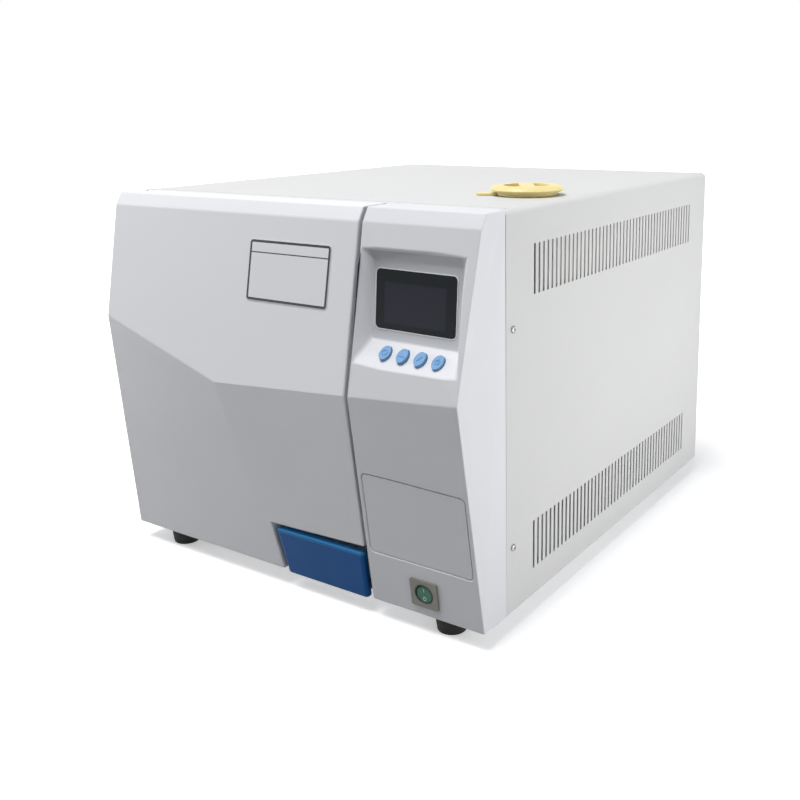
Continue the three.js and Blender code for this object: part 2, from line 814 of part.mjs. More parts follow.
function chamber() {
  const outer = chamberRadius + chamberWall;
  const end = flangeFront + chamberLength;
  const steps = 5;
  const dome = (radius, depth, tip) =>
    Array.from({ length: steps + 1 }, (_, i) => {
      const a = (i / steps) * (Math.PI / 2);
      return [i < steps ? radius * Math.cos(a) : 0, tip - depth + depth * Math.sin(a)];
    });
  const tip = end + chamberDome;
  const profile = [
    [chamberRadius, flangeFront],
    [flangeRadius, flangeFront],
    [flangeRadius, flangeFront + flangeThickness],
    [outer, flangeFront + flangeThickness],
    ...dome(outer, chamberDome, tip),
    ...dome(chamberRadius, chamberDome - chamberWall, tip - chamberWall).reverse(),
  ];
  piece("chamber_vessel", turnedY([...profile, profile[0]], chamberX, chamberZ, 48), materials.steel);

  const band = (inner, thickness, y0, y1, sides = 48) =>
    turnedY([[inner, y0], [inner + thickness, y0], [inner + thickness, y1], [inner, y1], [inner, y0]],
      chamberX, chamberZ, sides);
  const heater = band(outer + seat, heaterThickness, heaterStart, heaterStart + heaterLength);
  piece("heater_band", heater, materials.bezel);
  const wool = outer + 2 * seat + heaterThickness;
  let jacket = band(wool, insulationThickness, insulationStart, insulationEnd);
  for (const y of [cradleFront, cradleRear]) {
    jacket = jacket.subtract(box(chamberX - cradleWidth / 2 - seat, chamberX + cradleWidth / 2 + seat,
      y - seat,
      y + cradleThickness + seat, -overrun, chamberZ - chamberRadius / 2));
  }
  piece("insulation", jacket, materials.wool);
  for (const [name, y] of [["cradle_front", cradleFront], ["cradle_rear", cradleRear]]) {
    const blank = box(chamberX - cradleWidth / 2, chamberX + cradleWidth / 2, y, y + cradleThickness,
      0, chamberZ - chamberRadius / 2 - seat);
    const saddle = rod("y", outer + seat, y - overrun, y + cradleThickness + overrun, chamberX, chamberZ,
      48);
    piece(name, blank.subtract(saddle), materials.steel);
  }
}
chamber();

// Rack of two side sheets joined by cross rails, with ledges for the trays

function trays() {
  const railX = trayWidth / 2 + seat;
  const end = trayStart + trayLength;
  const level = (i) => chamberZ + trayLowest + i * trayPitch;
  const low = level(0) - 2 * rackSheet - seat;
  const high = level(trayCount - 1) + trayDepth + 2 * rackSheet;
  let rack;
  for (const side of [-1, 1]) {
    const x0 = chamberX + (side > 0 ? railX : -railX - rackSheet);
    let cheek = box(x0, x0 + rackSheet, trayStart, end, low, high);
    for (let i = 0; i < trayCount; i++) {
      const ledge = side > 0 ? [x0 - 2 * rackFoot / 3, x0 + rackSheet] : [x0,
        x0 + rackSheet + 2 * rackFoot / 3];
      cheek = cheek.add(box(ledge[0], ledge[1], trayStart, end, level(i) - rackSheet - seat,
        level(i) - seat));
    }
    rack = rack ? rack.add(cheek) : cheek;
  }
  const half = railX + rackSheet;
  for (const y of [trayStart, end - rackFoot]) {
    rack = rack.add(box(chamberX - half, chamberX + half, y, y + rackFoot, low, low + rackSheet));
    for (const side of [-1, 1]) {
      const x = chamberX + side * (railX - 2 * rackFoot);
      rack = rack.add(box(x - rackSheet, x + rackSheet, y, y + rackFoot, chamberZ - chamberRadius, low + seat));
    }
  }
  const bore = rod("y", chamberRadius - seat, trayStart - overrun, end + overrun, chamberX, chamberZ, 48);
  piece("tray_rack", rack.intersect(bore), materials.steel);
  for (let i = 0; i < trayCount; i++) {
    const half = trayWidth / 2;
    const z = level(i);
    const body = box(chamberX - half, chamberX + half, trayStart, end, z, z + trayDepth);
    const hollow = box(chamberX - half + trayWall, chamberX + half - trayWall, trayStart + trayWall,
      end - trayWall,
      z + trayWall, z + trayDepth + overrun);
    piece("tray_" + (i + 1), body.subtract(hollow), materials.steel);
  }
}
trays();

// Water tank with its filler neck, and the cap that lifts off

function tank() {
  let body = box(tankLeft, tankRight, tankFront, tankRear, tankLow, tankHigh);
  body = body.add(rod("z", neckRadius, tankHigh - seat, bodyHeight + neckRise, fillerX, fillerY, 36));
  body = body.subtract(box(tankLeft + tankWall, tankRight - tankWall, tankFront + tankWall,
    tankRear - tankWall,
    tankLow + tankWall, tankHigh - tankWall));
  const bore = neckRadius - neckWall;
  body = body.subtract(rod("z", bore, tankHigh - tankWall - seat, bodyHeight + 2 * overrun, fillerX,
    fillerY,
    36));
  piece("water_tank", body, materials.wool);
  for (const [tag, y] of [["front", tankFront + tankWall], ["rear", tankRear - 2 * tankWall]]) {
    const post = box(tankRight - shelfWidth, tankRight, y, y + shelfPost, 0, tankLow - seat);
    const web = box(tankRight - shelfWidth + plate, tankRight - plate, y + plate, y + shelfPost + overrun,
      -overrun, tankLow);
    piece("tank_post_" + tag, post.subtract(web), materials.steel);
  }
}
tank();

function tankCap() {
  const base = bodyHeight + neckRise + seat;
  const plug = neckRadius - neckWall - seat;
  const profile = [
    [0, base - capPlug],
    [plug, base - capPlug],
    [plug, base],
    [neckRadius + seat, base],
    [neckRadius + seat, bodyHeight + seat],
    [capSkirtRadius, bodyHeight + seat],
    [capSkirtRadius, base],
    [capRadius * capBaseShare, base],
    [capRadius, base + capHeight * capBellyShare],
    [capRadius * capRimShare, base + capHeight * capShoulderShare],
    [capRadius * capFlatShare, base + capHeight],
    [0, base + capHeight],
  ];
  const turned = new THREE.LatheGeometry(profile.map(([r, z]) => new THREE.Vector2(r, z)), 40);
  turned.rotateX(Math.PI / 2);
  turned.translate(fillerX, fillerY, 0);
  let cap = solidOf(turned);
  const top = base + capHeight;
  for (const side of [-1, 1]) {
    const well = new THREE.Shape();
    const inner = capBarWidth / 2;
    const reach = capRadius * capWellShare;
    const start = Math.asin(inner / reach);
    well.moveTo(inner, -reach * Math.cos(start));
    well.absarc(0, 0, reach, start - Math.PI / 2, Math.PI / 2 - start);
    well.closePath();
    const cut = new THREE.ExtrudeGeometry(well, { depth: capHeight, bevelEnabled: false,
      curveSegments: 10 });
    cut.rotateZ(capTurn + (side > 0 ? 0 : Math.PI));
    cut.translate(fillerX, fillerY, top - capWell);
    cap = cap.subtract(solidOf(cut));
  }
  const tab = roundedOutline(-capTab - capRadius, -neckRadius - 2 * seat, -capTabWidth / 2, capTabWidth / 2,
    capTabWidth / 3);
  const tabForm = new THREE.ExtrudeGeometry(tab, {
    depth: capTabThickness,
    bevelEnabled: false,
    curveSegments: 3,
  });
  tabForm.rotateZ(capTabTurn);
  tabForm.translate(fillerX, fillerY, bodyHeight + seat);
  cap = cap.add(solidOf(tabForm));
  piece("tank_cap", cap, materials.yellow);
}
tankCap();

// Control column: a shell with the control recess, the printer bay and the switch cut-out

function panelOut(x, z) {
  const across = (x - panelLeft) / (panelRight - panelLeft);
  const down = (panelTop - z) / (panelTop - panelFoot);
  return -panelTopLeftOut - (panelTopRightOut - panelTopLeftOut) * across
    - (panelFootLeftOut - panelTopLeftOut) * down;
}

// A layer that follows the display panel, from one depth behind it to another.
function panelLayer(x0, x1, z0, z1, near, far) {
  const ring = (depth) =>
    [[x0, z0], [x1, z0], [x1, z1], [x0, z1]].map(([x, z]) => [x, panelOut(x, z) + depth, z]);
  return loft([ring(near), ring(far)]);
}

function recessForm(grow, reach) {
  const back = [[panelLeft, panelTop], [panelRight, panelTop], [panelRight, panelFoot],
    [panelLeft, panelFoot]]
    .map(([x, z]) => [x, panelOut(x, z), z]);
  const drop = shoulderHeight - recessTop;
  const topOutLeft = (drop * creaseGapOut) / (shoulderHeight - creaseGapHeight);
  const topOutRight = (drop * creaseRightOut) / (shoulderHeight - creaseRightHeight);
  const rim = [
    [recessLeft, -topOutLeft, recessTop],
    [recessRightTop, -topOutRight, recessTop],
    [recessRightFoot, -recessFootOutRight, recessFoot],
    [recessLeft, -recessFootOutLeft, recessFoot],
  ];
  const signs = [[-1, 1], [1, 1], [1, -1], [-1, -1]];
  const widen = ([x, y, z], i, depth) => [x + signs[i][0] * grow, y + depth, z + signs[i][1] * grow];
  const mouth = rim.map((p, i) => p.map((v, k) => back[i][k] + (v - back[i][k]) * reach));
  return loft([mouth.map((p, i) => widen(p, i, 0)), back.map((p, i) => widen(p, i, grow))]);
}

// The shelf of the recess at a place across it: its middle and the direction it faces
const shelfDown = panelFoot - recessFoot;
const shelfNormal = (() => {
  const out = (recessFootOutLeft + recessFootOutRight) / 2 - (panelFootLeftOut - panelOut(panelRight,
    panelFoot)) / 2;
  return new THREE.Vector3(0, -shelfDown, out).normalize();
})();

function shelfPoint(x) {
  const across = (x - panelLeft) / (panelRight - panelLeft);
  const backY = panelOut(x, panelFoot);
  const rimY = -recessFootOutLeft - (recessFootOutRight - recessFootOutLeft) * across;
  return new THREE.Vector3(x, (backY + rimY) / 2, (panelFoot + recessFoot) / 2);
}

// A turned body standing on the shelf at a place across it, oval where it is narrowed.
function onShelf(x, profile, sides, narrow = 1) {
  const geometry = new THREE.LatheGeometry(profile.map(([r, h]) => new THREE.Vector2(r, h)), sides);
  geometry.scale(narrow, 1, 1);
  geometry.applyQuaternion(new THREE.Quaternion().setFromUnitVectors(new THREE.Vector3(0, 1, 0),
    shelfNormal));
  const p = shelfPoint(x);
  geometry.translate(p.x, p.y, p.z);
  return solidOf(geometry);
}

const buttonXs = Array.from({ length: buttonCount }, (_, i) => buttonFirst + i * buttonPitch);
const blankDepth = grooveDepth + blankThickness;
const buttonBossXs = [
  buttonFirst - buttonPitch * buttonBossShare,
  buttonFirst + (buttonCount - 1 + buttonBossShare) * buttonPitch,
];

function facetPrism(x0, x1, z0, z1, radius, back) {
  return prismY(roundedOutline(x0, x1, z0, z1, radius), -creaseRightOut - overrun, back);
}

function columnFascia() {
  const back = sideSeam - seat;
  const outer = frontBlock(columnStations, 0, back);
  let hollow = frontBlock(columnStations, moulding, back + overrun);
  hollow = hollow.subtract(recessForm(panelWall, recessReachShare));
  const bay = (grow, depth) =>
    facetPrism(blankLeft - grow, blankRight + grow, blankFoot - grow, blankTop + grow, blankRadius + grow,
    sideSeam)
      .subtract(frontBlock(columnStations, depth, back + overrun, 0));
  hollow = hollow.subtract(bay(grooveWidth + moulding, blankDepth + seat + moulding));
  const stems = buttonBossXs.map((x) => onShelf(x, [
    [0, -boardDrop + seat], [stemRadius, -boardDrop + seat], [stemRadius, -panelWall / 2],
    [0, -panelWall / 2],
  ], 12));
  let shell = outer.subtract(hollow).add(wasm.Manifold.union(stems));
  shell = shell.subtract(recessForm(0, recessReachShare));
  shell = shell.subtract(bay(grooveWidth, blankDepth + seat));
  const pocket = roundedOutline(windowLeft - seat, windowRight + seat, windowFoot - seat, windowTop + seat,
    windowRadius + seat);
  shell = shell.subtract(prismY(pocket, -creaseRightOut, sideSeam)
    .intersect(panelLayer(panelLeft, panelRight, panelFoot, panelTop, -overrun, windowDepth)));
  shell = shell.subtract(box(windowLeft + windowRadius, windowRight - windowRadius, -overrun - panelWall,
    sideSeam,
    windowFoot + windowRadius, windowTop - windowRadius));
  for (const x of buttonXs) {
    shell = shell.subtract(onShelf(x, [
      [0, -panelWall - overrun], [buttonRadius + buttonGap, -panelWall - overrun],
      [buttonRadius + buttonGap, overrun], [0, overrun],
    ], 24, buttonNarrow));
  }
  const half = switchWidth / 2 - plate + seat;
  const tall = switchHeight / 2 - plate + seat;
  shell = shell.subtract(box(switchX - half, switchX + half, -creaseRightOut, sideSeam / 2, switchZ - tall,
    switchZ + tall));
  const slot = keeperSlot();
  shell = shell.subtract(box(columnEdge - overrun, columnEdge + moulding + overrun, slot.y0, slot.y1,
    slot.z0,
    slot.z1));
  piece("column_fascia", shell, materials.cover);
}

function display() {
  const face = roundedOutline(windowLeft, windowRight, windowFoot, windowTop, windowRadius);
  const layer = panelLayer(panelLeft, panelRight, panelFoot, panelTop, -windowProud, windowDepth - seat);
  piece("display_window", prismY(face, -creaseRightOut, sideSeam).intersect(layer), materials.glass);
  const m = windowRadius + seat;
  const module_ = panelLayer(windowLeft + m, windowRight - m, windowFoot + m, windowTop - m,
    windowDepth + seat,
    displayDepth);
  const card = panelLayer(windowLeft, windowRight, windowFoot, windowTop, displayDepth - seat,
    displayDepth + boardThickness);
  piece("display_module", module_.add(card), materials.board);
}

function buttons() {
  buttonXs.forEach((x, i) => {
    piece("button_" + (i + 1), onShelf(x, [
      [0, -boardDrop + buttonTravel + seat],
      [stemRadius, -boardDrop + buttonTravel + seat],
      [stemRadius, -buttonCollar],
      [buttonRadius, -buttonCollar],
      [buttonRadius, buttonProud * buttonEdgeShare],
      [buttonRadius * buttonTopShare, buttonProud],
      [0, buttonProud],
    ], 24, buttonNarrow), materials.button);
  });
  const first = shelfPoint(buttonBossXs[0] - 2 * stemRadius);
  const last = shelfPoint(buttonBossXs[1] + 2 * stemRadius);
  const across = new THREE.Vector3().subVectors(last, first);
  const card = new THREE.BoxGeometry(across.length(), boardThickness, boardWidth);
  const turn = new THREE.Matrix4().makeBasis(
    across.clone().normalize(),
    shelfNormal.clone().addScaledVector(across.clone().normalize(),
    -shelfNormal.dot(across) / across.length())
      .normalize(),
    new THREE.Vector3().crossVectors(across, shelfNormal).normalize(),
  );
  card.applyMatrix4(turn);
  const middle = new THREE.Vector3().addVectors(first, last).multiplyScalar(1 / 2)
    .addScaledVector(shelfNormal, -boardDrop - boardThickness / 2);
  card.translate(middle.x, middle.y, middle.z);
  piece("button_board", solidOf(card), materials.board);
}

function printerBlank() {
  const layer = frontBlock(columnStations, grooveDepth, sideSeam, 0)
    .subtract(frontBlock(columnStations, blankDepth, sideSeam + overrun, 0));
  piece("printer_cover", facetPrism(blankLeft, blankRight, blankFoot, blankTop, blankRadius,
    0).intersect(layer),
    materials.cover);
}

// Power switch: a square bezel on the facet with a round rocker that turns about X

const rockerX = switchX;
const rockerZ = switchZ;
const rockerY = rockerSet - (switchZ * creaseRightOut) / creaseRightHeight;

function powerSwitch() {
  const flange = facetPrism(switchX - switchWidth / 2, switchX + switchWidth / 2,
    switchZ - switchHeight / 2,
    switchZ + switchHeight / 2, plate, 0)
    .intersect(frontBlock(columnStations, -switchProud, sideSeam, 0))
    .subtract(frontBlock(columnStations, -seat, sideSeam + overrun, 0));
  const half = switchWidth / 2 - plate;
  const tall = switchHeight / 2 - plate;
  const barrel = box(switchX - half, switchX + half, rockerY - rockerSet, switchDepth, switchZ - tall,
    switchZ + tall);
  const housing = flange.add(barrel)
    .subtract(rod("y", rockerRadius + seat, -creaseRightOut, switchDepth - plate, rockerX, rockerZ, 28))
    .subtract(rod("x", axleRadius + seat, rockerX - half + plate, rockerX + half - plate, rockerY,
    rockerZ, 12));
  piece("switch_bezel", housing, materials.bezel);
  const ball = new THREE.SphereGeometry(rockerRadius, 24, 14);
  ball.translate(rockerX, rockerY, rockerZ);
  const key = solidOf(ball).intersect(box(rockerX - rockerRadius, rockerX + rockerRadius,
    rockerY - rockerFace,
    rockerY + rockerDepth - rockerFace, rockerZ - rockerRadius, rockerZ + rockerRadius));
  const axle = rod("x", axleRadius, rockerX - half + plate + seat, rockerX + half - plate - seat, rockerY,
    rockerZ, 12);
  const tilted = geometryOf(key.add(axle));
  tilted.translate(0, -rockerY, -rockerZ);
  tilted.rotateX(THREE.MathUtils.degToRad(rockerSwing));
  tilted.translate(0, rockerY, rockerZ);
  piece("switch_rocker", solidOf(tilted), materials.green);
}

// Door: faceted cover, arm on the hinge, pressure plate and gasket

function notchForm(grow) {
  const points = [
    [notchLeftTop - grow, notchTop - notchSlant + grow],
    [doorEdge + overrun, notchTop + grow],
    [doorEdge + overrun, -overrun],
    [notchLeftFoot + (notchLeftFoot - notchLeftTop) * overrun / notchTop - grow, -overrun],
  ];
  return prismY(outline(points), -creaseTurnOut - overrun, notchBack + grow);
}

function hingeClear(z0, z1) {
  const radius = hingeRadius + hingeRelief;
  return rod("z", radius, z0, z1, hingeX, hingeY, 24)
    .add(box(-halfWidth - overrun, hingeX, hingeY, mouldingBack + overrun, z0, z1));
}

function doorCover() {
  const outer = frontBlock(doorStations, 0, mouldingBack);
  const hollow = frontBlock(doorStations, moulding, mouldingBack + overrun).subtract(notchForm(moulding));
  let cover = outer.subtract(hollow);
  const bosses = doorBosses.map(([x, z]) =>
    rod("y", bossSize, -creaseTurnOut - overrun, armFront - seat, x, z, 16).intersect(outer));
  const guide = box(boltGuideAt - boltGuideWidth / 2, boltGuideAt + boltGuideWidth / 2,
    -creaseTurnOut - overrun,
    bolt.y1 + guideWall, bolt.z0 - guideWall, bolt.z1 + guideWall).intersect(outer);
  const bearing = box(pivotX - hubRadius, pivotX + hubRadius, -creaseTurnOut - overrun, pivotY + hubRadius,
    bearingLow, bearingLow + bearingHeight).intersect(outer);
  cover = cover.add(wasm.Manifold.union([...bosses, guide, bearing]));
  cover = cover.subtract(notchForm(0));
  cover = cover.subtract(rod("z", pivotRadius + seat, notchTop - overrun,
    bearingLow + bearingHeight + overrun,
    pivotX, pivotY, 24));
  cover = cover.subtract(box(boltGuideAt - boltGuideWidth, doorEdge + overrun, bolt.y0 - seat,
    bolt.y1 + seat,
    bolt.z0 - seat, bolt.z1 + seat));
  cover = cover.subtract(hingeClear(-overrun, bodyHeight + overrun));
  piece("door_cover", cover, materials.cover);
}

function doorArm() {
  const strapRight = strapLeft + strapWidth;
  let arm = box(strapLeft, strapRight, armFront, armBack, lowerLug, upperLug + lugHeight);
  arm = arm.add(box(strapLeft, armRight, armFront, armBack, chamberZ - armWidth / 2,
    chamberZ + armWidth / 2));
  arm = arm.add(rod("y", bossRadius, armBack - seat, plateFront - seat, chamberX, chamberZ, 28));
  for (const z of [lowerLug, upperLug]) {
    arm = arm.add(rod("z", hingeRadius, z, z + lugHeight, hingeX, hingeY, 24));
    arm = arm.add(box(hingeX, strapRight, armFront, armBack, z, z + lugHeight));
    arm = arm.subtract(rod("z", hingePinRadius + seat, z - overrun, z + lugHeight + overrun, hingeX,
      hingeY, 20));
  }
  piece("door_arm", arm, materials.steel);
  piece("pressure_plate", turnedY([
    [0, plateFront],
    [plateRadius, plateFront],
    [plateRadius, plateBack - plateLip],
    [gasketRadius - plateStep, plateBack - plateLip],
    [gasketRadius - 2 * plateStep, plateBack - plateDish],
    [0, plateBack - plateDish],
  ], chamberX, chamberZ, 48), materials.steel);
  piece("door_gasket", turnedY([
    [gasketRadius - gasketWidth / 2, gasketFront],
    [gasketRadius + gasketWidth / 2, gasketFront],
    [gasketRadius + gasketWidth / 2, gasketBack - gasketRound],
    [gasketRadius, gasketBack],
    [gasketRadius - gasketWidth / 2, gasketBack - gasketRound],
    [gasketRadius - gasketWidth / 2, gasketFront],
  ], chamberX, chamberZ, 48), materials.rubber);
}

function hinge() {
  let post = rod("z", hingeRadius, postLow, postHigh, hingeX, hingeY, 24);
  post = post.add(box(hingeX - leafInner, hingeX - leafInner + leafWidth, hingeY, frameFront - seat,
    postLow,
    postHigh));
  const depth = hingePinLength - lugHeight;
  for (const [z0, z1] of [[postLow - overrun, postLow + depth], [postHigh - depth, postHigh + overrun]]) {
    post = post.subtract(rod("z", hingePinRadius + seat, z0, z1, hingeX, hingeY, 20));
  }
  piece("hinge_post", post, materials.steel);
  const upper = rod("z", hingePinRadius, postHigh - depth + seat, upperLug + lugHeight + plate, hingeX,
    hingeY, 20)
    .add(rod("z", hingePinRadius + plate, upperLug + lugHeight + seat,
    upperLug + lugHeight + seat + plate, hingeX,
      hingeY, 20));
  piece("hinge_pin_upper", upper, materials.steel);
  const lower = rod("z", hingePinRadius, lowerLug - plate, postLow + depth - seat, hingeX, hingeY, 20)
    .add(rod("z", hingePinRadius + plate, lowerLug - seat - plate, lowerLug - seat, hingeX, hingeY, 20));
  piece("hinge_pin_lower", lower, materials.steel);
}

// Handle, its crank and the latch bolt, which the crank's pin draws back

function handle() {
  const leftSlope = creaseTurnOut / creaseTurnHeight;
  const rightSlope = creaseGapOut / creaseGapHeight;
  const ring = (xTop, xFoot, slope, depth) => [
    [xTop, -slope * handleTop, handleTop],
    [xFoot, slope * handleDrop, -handleDrop],
    [xFoot, slope * handleDrop + depth, -handleDrop],
    [xTop, -slope * handleTop + depth, handleTop],
  ];
  const slab = (depth) =>
    loft([
      ring(handleLeftTop, handleLeftFoot, leftSlope, depth),
      ring(handleRight, handleRight, rightSlope, depth),
    ]);
  const hub = rod("z", hubRadius, hubLow, handleTop, pivotX, pivotY, 24)
    .intersect(slab(handleThickness + 2 * hubRadius));
  let lever = slab(handleThickness).add(hub);
  lever = lever.add(rod("z", pivotRadius, handleTop - overrun, crankLow + crankHeight, pivotX, pivotY, 20));
  const pinY = pivotY - crankLength;
  lever = lever.add(box(pivotX - pivotRadius, pivotX + pivotRadius, pinY - pivotRadius, pivotY, crankLow,
    crankLow + crankHeight));
  lever = lever.add(rod("z", crankPinRadius, crankLow, bolt.z1, pivotX, pinY, 16));
  piece("door_handle", lever, materials.blue);
  let bar = box(bolt.x0, bolt.x1, bolt.y0, bolt.y1, bolt.z0, bolt.z1);
  const slotY = pinY - crankPinRadius - 2 * seat;
  bar = bar.subtract(box(pivotX - boltSlotWidth / 2, pivotX + boltSlotWidth / 2, slotY, bolt.y1 + overrun,
    bolt.z0 - overrun, bolt.z1 + overrun));
  piece("latch_bolt", bar, materials.steel);
  const slot = keeperSlot();
  const keeper = box(columnEdge + moulding + seat, columnEdge + moulding + seat + keeperDepth,
    slot.y0 - plate,
    slot.y1 + plate, slot.z0 - plate, slot.z1 + plate)
    .subtract(box(columnEdge, columnEdge + moulding + seat + keeperDepth - plate, slot.y0, slot.y1, slot.z0,
      slot.z1));
  piece("latch_keeper", keeper, materials.steel);
}

// Pump, valves, boards and condenser on the base, and the pipe from the pump

function machinery() {
  const motor = rod("y", pumpRadius, pumpFront, pumpFront + pumpLength, pumpX, pumpRise, 28);
  const head = box(pumpX - pumpRadius, pumpX + pumpRadius, pumpFront + pumpLength - seat,
    pumpFront + pumpLength + pumpHead, 0, 2 * pumpRise);
  const foot = box(pumpX - pumpRadius, pumpX + pumpRadius, pumpFront + plate, pumpFront + pumpLength,
    0, pumpRise / 2);
  piece("water_pump", motor.add(head).add(foot), materials.bezel);
  const outletY = pumpFront + pumpLength + pumpHead;
  for (const [i, y] of [valveFront, valveFront + valvePitch].entries()) {
    const body = box(pumpX - valveSize / 2, pumpX + valveSize / 2, y, y + valveSize, 0, valveSize);
    const coil = rod("z", valveSize / 2, valveSize - seat, 2 * valveSize, pumpX, y + valveSize / 2, 20);
    piece("solenoid_valve_" + (i + 1), body.add(coil), materials.brass);
  }
  const path = new THREE.CatmullRomCurve3([
    new THREE.Vector3(pumpX, outletY + seat, valveSize / 2),
    new THREE.Vector3(pumpX, (outletY + valveFront) / 2, valveSize / 2),
    new THREE.Vector3(pumpX, valveFront - seat, valveSize / 2),
  ]);
  const section = new THREE.Shape();
  section.absarc(0, 0, pipeRadius, 0, 2 * Math.PI);
  const pipe = new THREE.ExtrudeGeometry(section, {
    extrudePath: path,
    steps: 4,
    curveSegments: 5,
    bevelEnabled: false,
  });
  piece("feed_pipe", solidOf(pipe), materials.wool);

  const supply = box(supplyLeft, supplyLeft + supplyWidth, supplyFront, supplyFront + supplyLength, 0,
    supplyHeight);
  piece("power_supply", supply, materials.steel);
  const card = box(innerHalf - boardInset - boardThickness, innerHalf - boardInset, supplyFront,
    supplyFront + supplyLength, 0, supplyLength / 2);
  piece("main_board", card, materials.board);

  let block = box(condenserLeft, condenserLeft + condenserWidth, condenserFront,
    condenserFront + condenserLength,
    0, condenserHeight);
  const fins = [];
  for (let i = 0; i < condenserFins; i++) {
    const y = condenserFront + finPitch / 2 + i * finPitch;
    fins.push(box(condenserLeft - overrun, condenserLeft + condenserWidth + overrun, y, y + finPitch / 2,
      finRoot, condenserHeight + overrun));
  }
  block = block.subtract(wasm.Manifold.union(fins));
  piece("condenser", block, materials.steel);

  const tip = flangeFront + chamberLength + chamberDome;
  const stem = rod("y", valveSize / 6, tip + seat, rearPanelFront - seat, chamberX, chamberZ, 20);
  const nut = rod("y", valveSize / 3, tip + seat, tip + seat + valveSize / 3, chamberX, chamberZ, 6);
  piece("safety_valve", stem.add(nut), materials.brass);
}

doorCover();
doorArm();
hinge();
handle();
columnFascia();
display();
buttons();
printerBlank();
powerSwitch();
machinery();

export default object;
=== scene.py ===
# %% [markdown]
# # A benchtop laboratory autoclave
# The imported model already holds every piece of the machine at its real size: the door with its
# facets, the control column, the vented casing and the chamber behind the door. This lesson
# gives those pieces the soft edges and the surfaces of the real ones, and models in Blender
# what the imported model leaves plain. We start by loading the fixed frame.

# %% Load the frame
import json
import math

import bmesh
import bpy
from mathutils import Matrix, Vector

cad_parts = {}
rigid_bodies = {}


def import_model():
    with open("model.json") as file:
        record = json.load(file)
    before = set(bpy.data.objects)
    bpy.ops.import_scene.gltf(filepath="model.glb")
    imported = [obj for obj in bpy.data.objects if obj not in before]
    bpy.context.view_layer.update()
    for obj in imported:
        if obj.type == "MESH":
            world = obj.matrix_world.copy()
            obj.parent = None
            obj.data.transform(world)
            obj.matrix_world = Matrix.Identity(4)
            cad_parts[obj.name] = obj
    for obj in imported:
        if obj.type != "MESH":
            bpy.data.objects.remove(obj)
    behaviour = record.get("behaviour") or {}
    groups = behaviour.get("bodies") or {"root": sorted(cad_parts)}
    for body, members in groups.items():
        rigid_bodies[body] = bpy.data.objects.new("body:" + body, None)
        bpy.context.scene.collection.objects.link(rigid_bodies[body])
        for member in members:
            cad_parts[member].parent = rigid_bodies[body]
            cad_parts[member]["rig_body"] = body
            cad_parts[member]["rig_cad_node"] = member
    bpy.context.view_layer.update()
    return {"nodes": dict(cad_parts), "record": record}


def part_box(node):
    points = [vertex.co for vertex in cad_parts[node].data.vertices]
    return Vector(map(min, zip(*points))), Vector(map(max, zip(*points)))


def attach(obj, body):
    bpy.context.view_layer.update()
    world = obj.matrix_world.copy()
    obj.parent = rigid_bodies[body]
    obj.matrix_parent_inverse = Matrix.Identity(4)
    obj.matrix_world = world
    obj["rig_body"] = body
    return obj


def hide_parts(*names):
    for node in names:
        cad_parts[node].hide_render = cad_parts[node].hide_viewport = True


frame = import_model()
nodes = frame["nodes"]
bodies = frame["record"]["behaviour"]["bodies"]
body_of = {node: body for body, members in bodies.items() for node in members}

# %% [markdown]
# The machine was measured in millimetres from the bottom front edge of its casing. The frame
# counts in metres from the middle of the footprint, on the bench. One small helper turns the
# first into the second, so that every place below is a number one could measure on the machine.

# %% Millimetres to the frame
CASING_FRONT = -263.5
CASING_UNDERSIDE = 20.0


def place(x, y, z):
    return Vector((x, y + CASING_FRONT, z + CASING_UNDERSIDE)) / 1000


def mm(length):
    return length / 1000


print("casing's bottom front edge at", place(0, 0, 0))

# %% [markdown]
# The camera stands to the right of the machine and a little above it. Its three directions were
# worked out from the edges of the casing, which are straight and square to each other, so they
# are written down as they are. The lens is shifted a little, because the machine lies off the
# middle of the picture.

# %% Camera
lens = bpy.data.cameras.new("camera")
lens.sensor_width = 36
lens.lens = 44.17
lens.shift_x = -0.075
lens.shift_y = -0.125
lens.clip_start = 0.01
camera = bpy.data.objects.new("camera", lens)
bpy.context.scene.collection.objects.link(camera)
bpy.context.scene.camera = camera

right = Vector((0.83588, 0.54881, -0.01061))
up = Vector((-0.09889, 0.16956, 0.98055))
ahead = Vector((-0.53993, 0.81857, -0.19600))
turn = Matrix((right, up, -ahead)).transposed().to_4x4()
camera.matrix_world = Matrix.Translation((0.67933, -0.96440, 0.50080)) @ turn
print("camera", [round(v, 3) for v in camera.location])

# %% [markdown]
# A finish is a small tree of shader nodes. Wiring one by hand in code is long, so two classes
# shorten it. A Wire is one output of a node, and the usual sums on it add the Math nodes that
# work them out. A Finish holds the tree and its Principled shader, and adds any other node.

# %% Wires and finishes
class Wire:
    """One output socket. Sums on it add Math nodes."""

    def __init__(self, finish, socket):
        self.finish = finish
        self.socket = socket

    def sum(self, operation, first, second):
        return self.finish.add("ShaderNodeMath", {"operation": operation}, {0: first, 1: second})

    def __add__(self, other):
        return self.sum("ADD", self, other)

    def __sub__(self, other):
        return self.sum("SUBTRACT", self, other)

    def __rsub__(self, other):
        return self.sum("SUBTRACT", other, self)

    def __mul__(self, other):
        return self.sum("MULTIPLY", self, other)

    def __gt__(self, other):
        return self.sum("GREATER_THAN", self, other)

    def least(self, other):
        return self.sum("MINIMUM", self, other)

    def most(self, other):
        return self.sum("MAXIMUM", self, other)


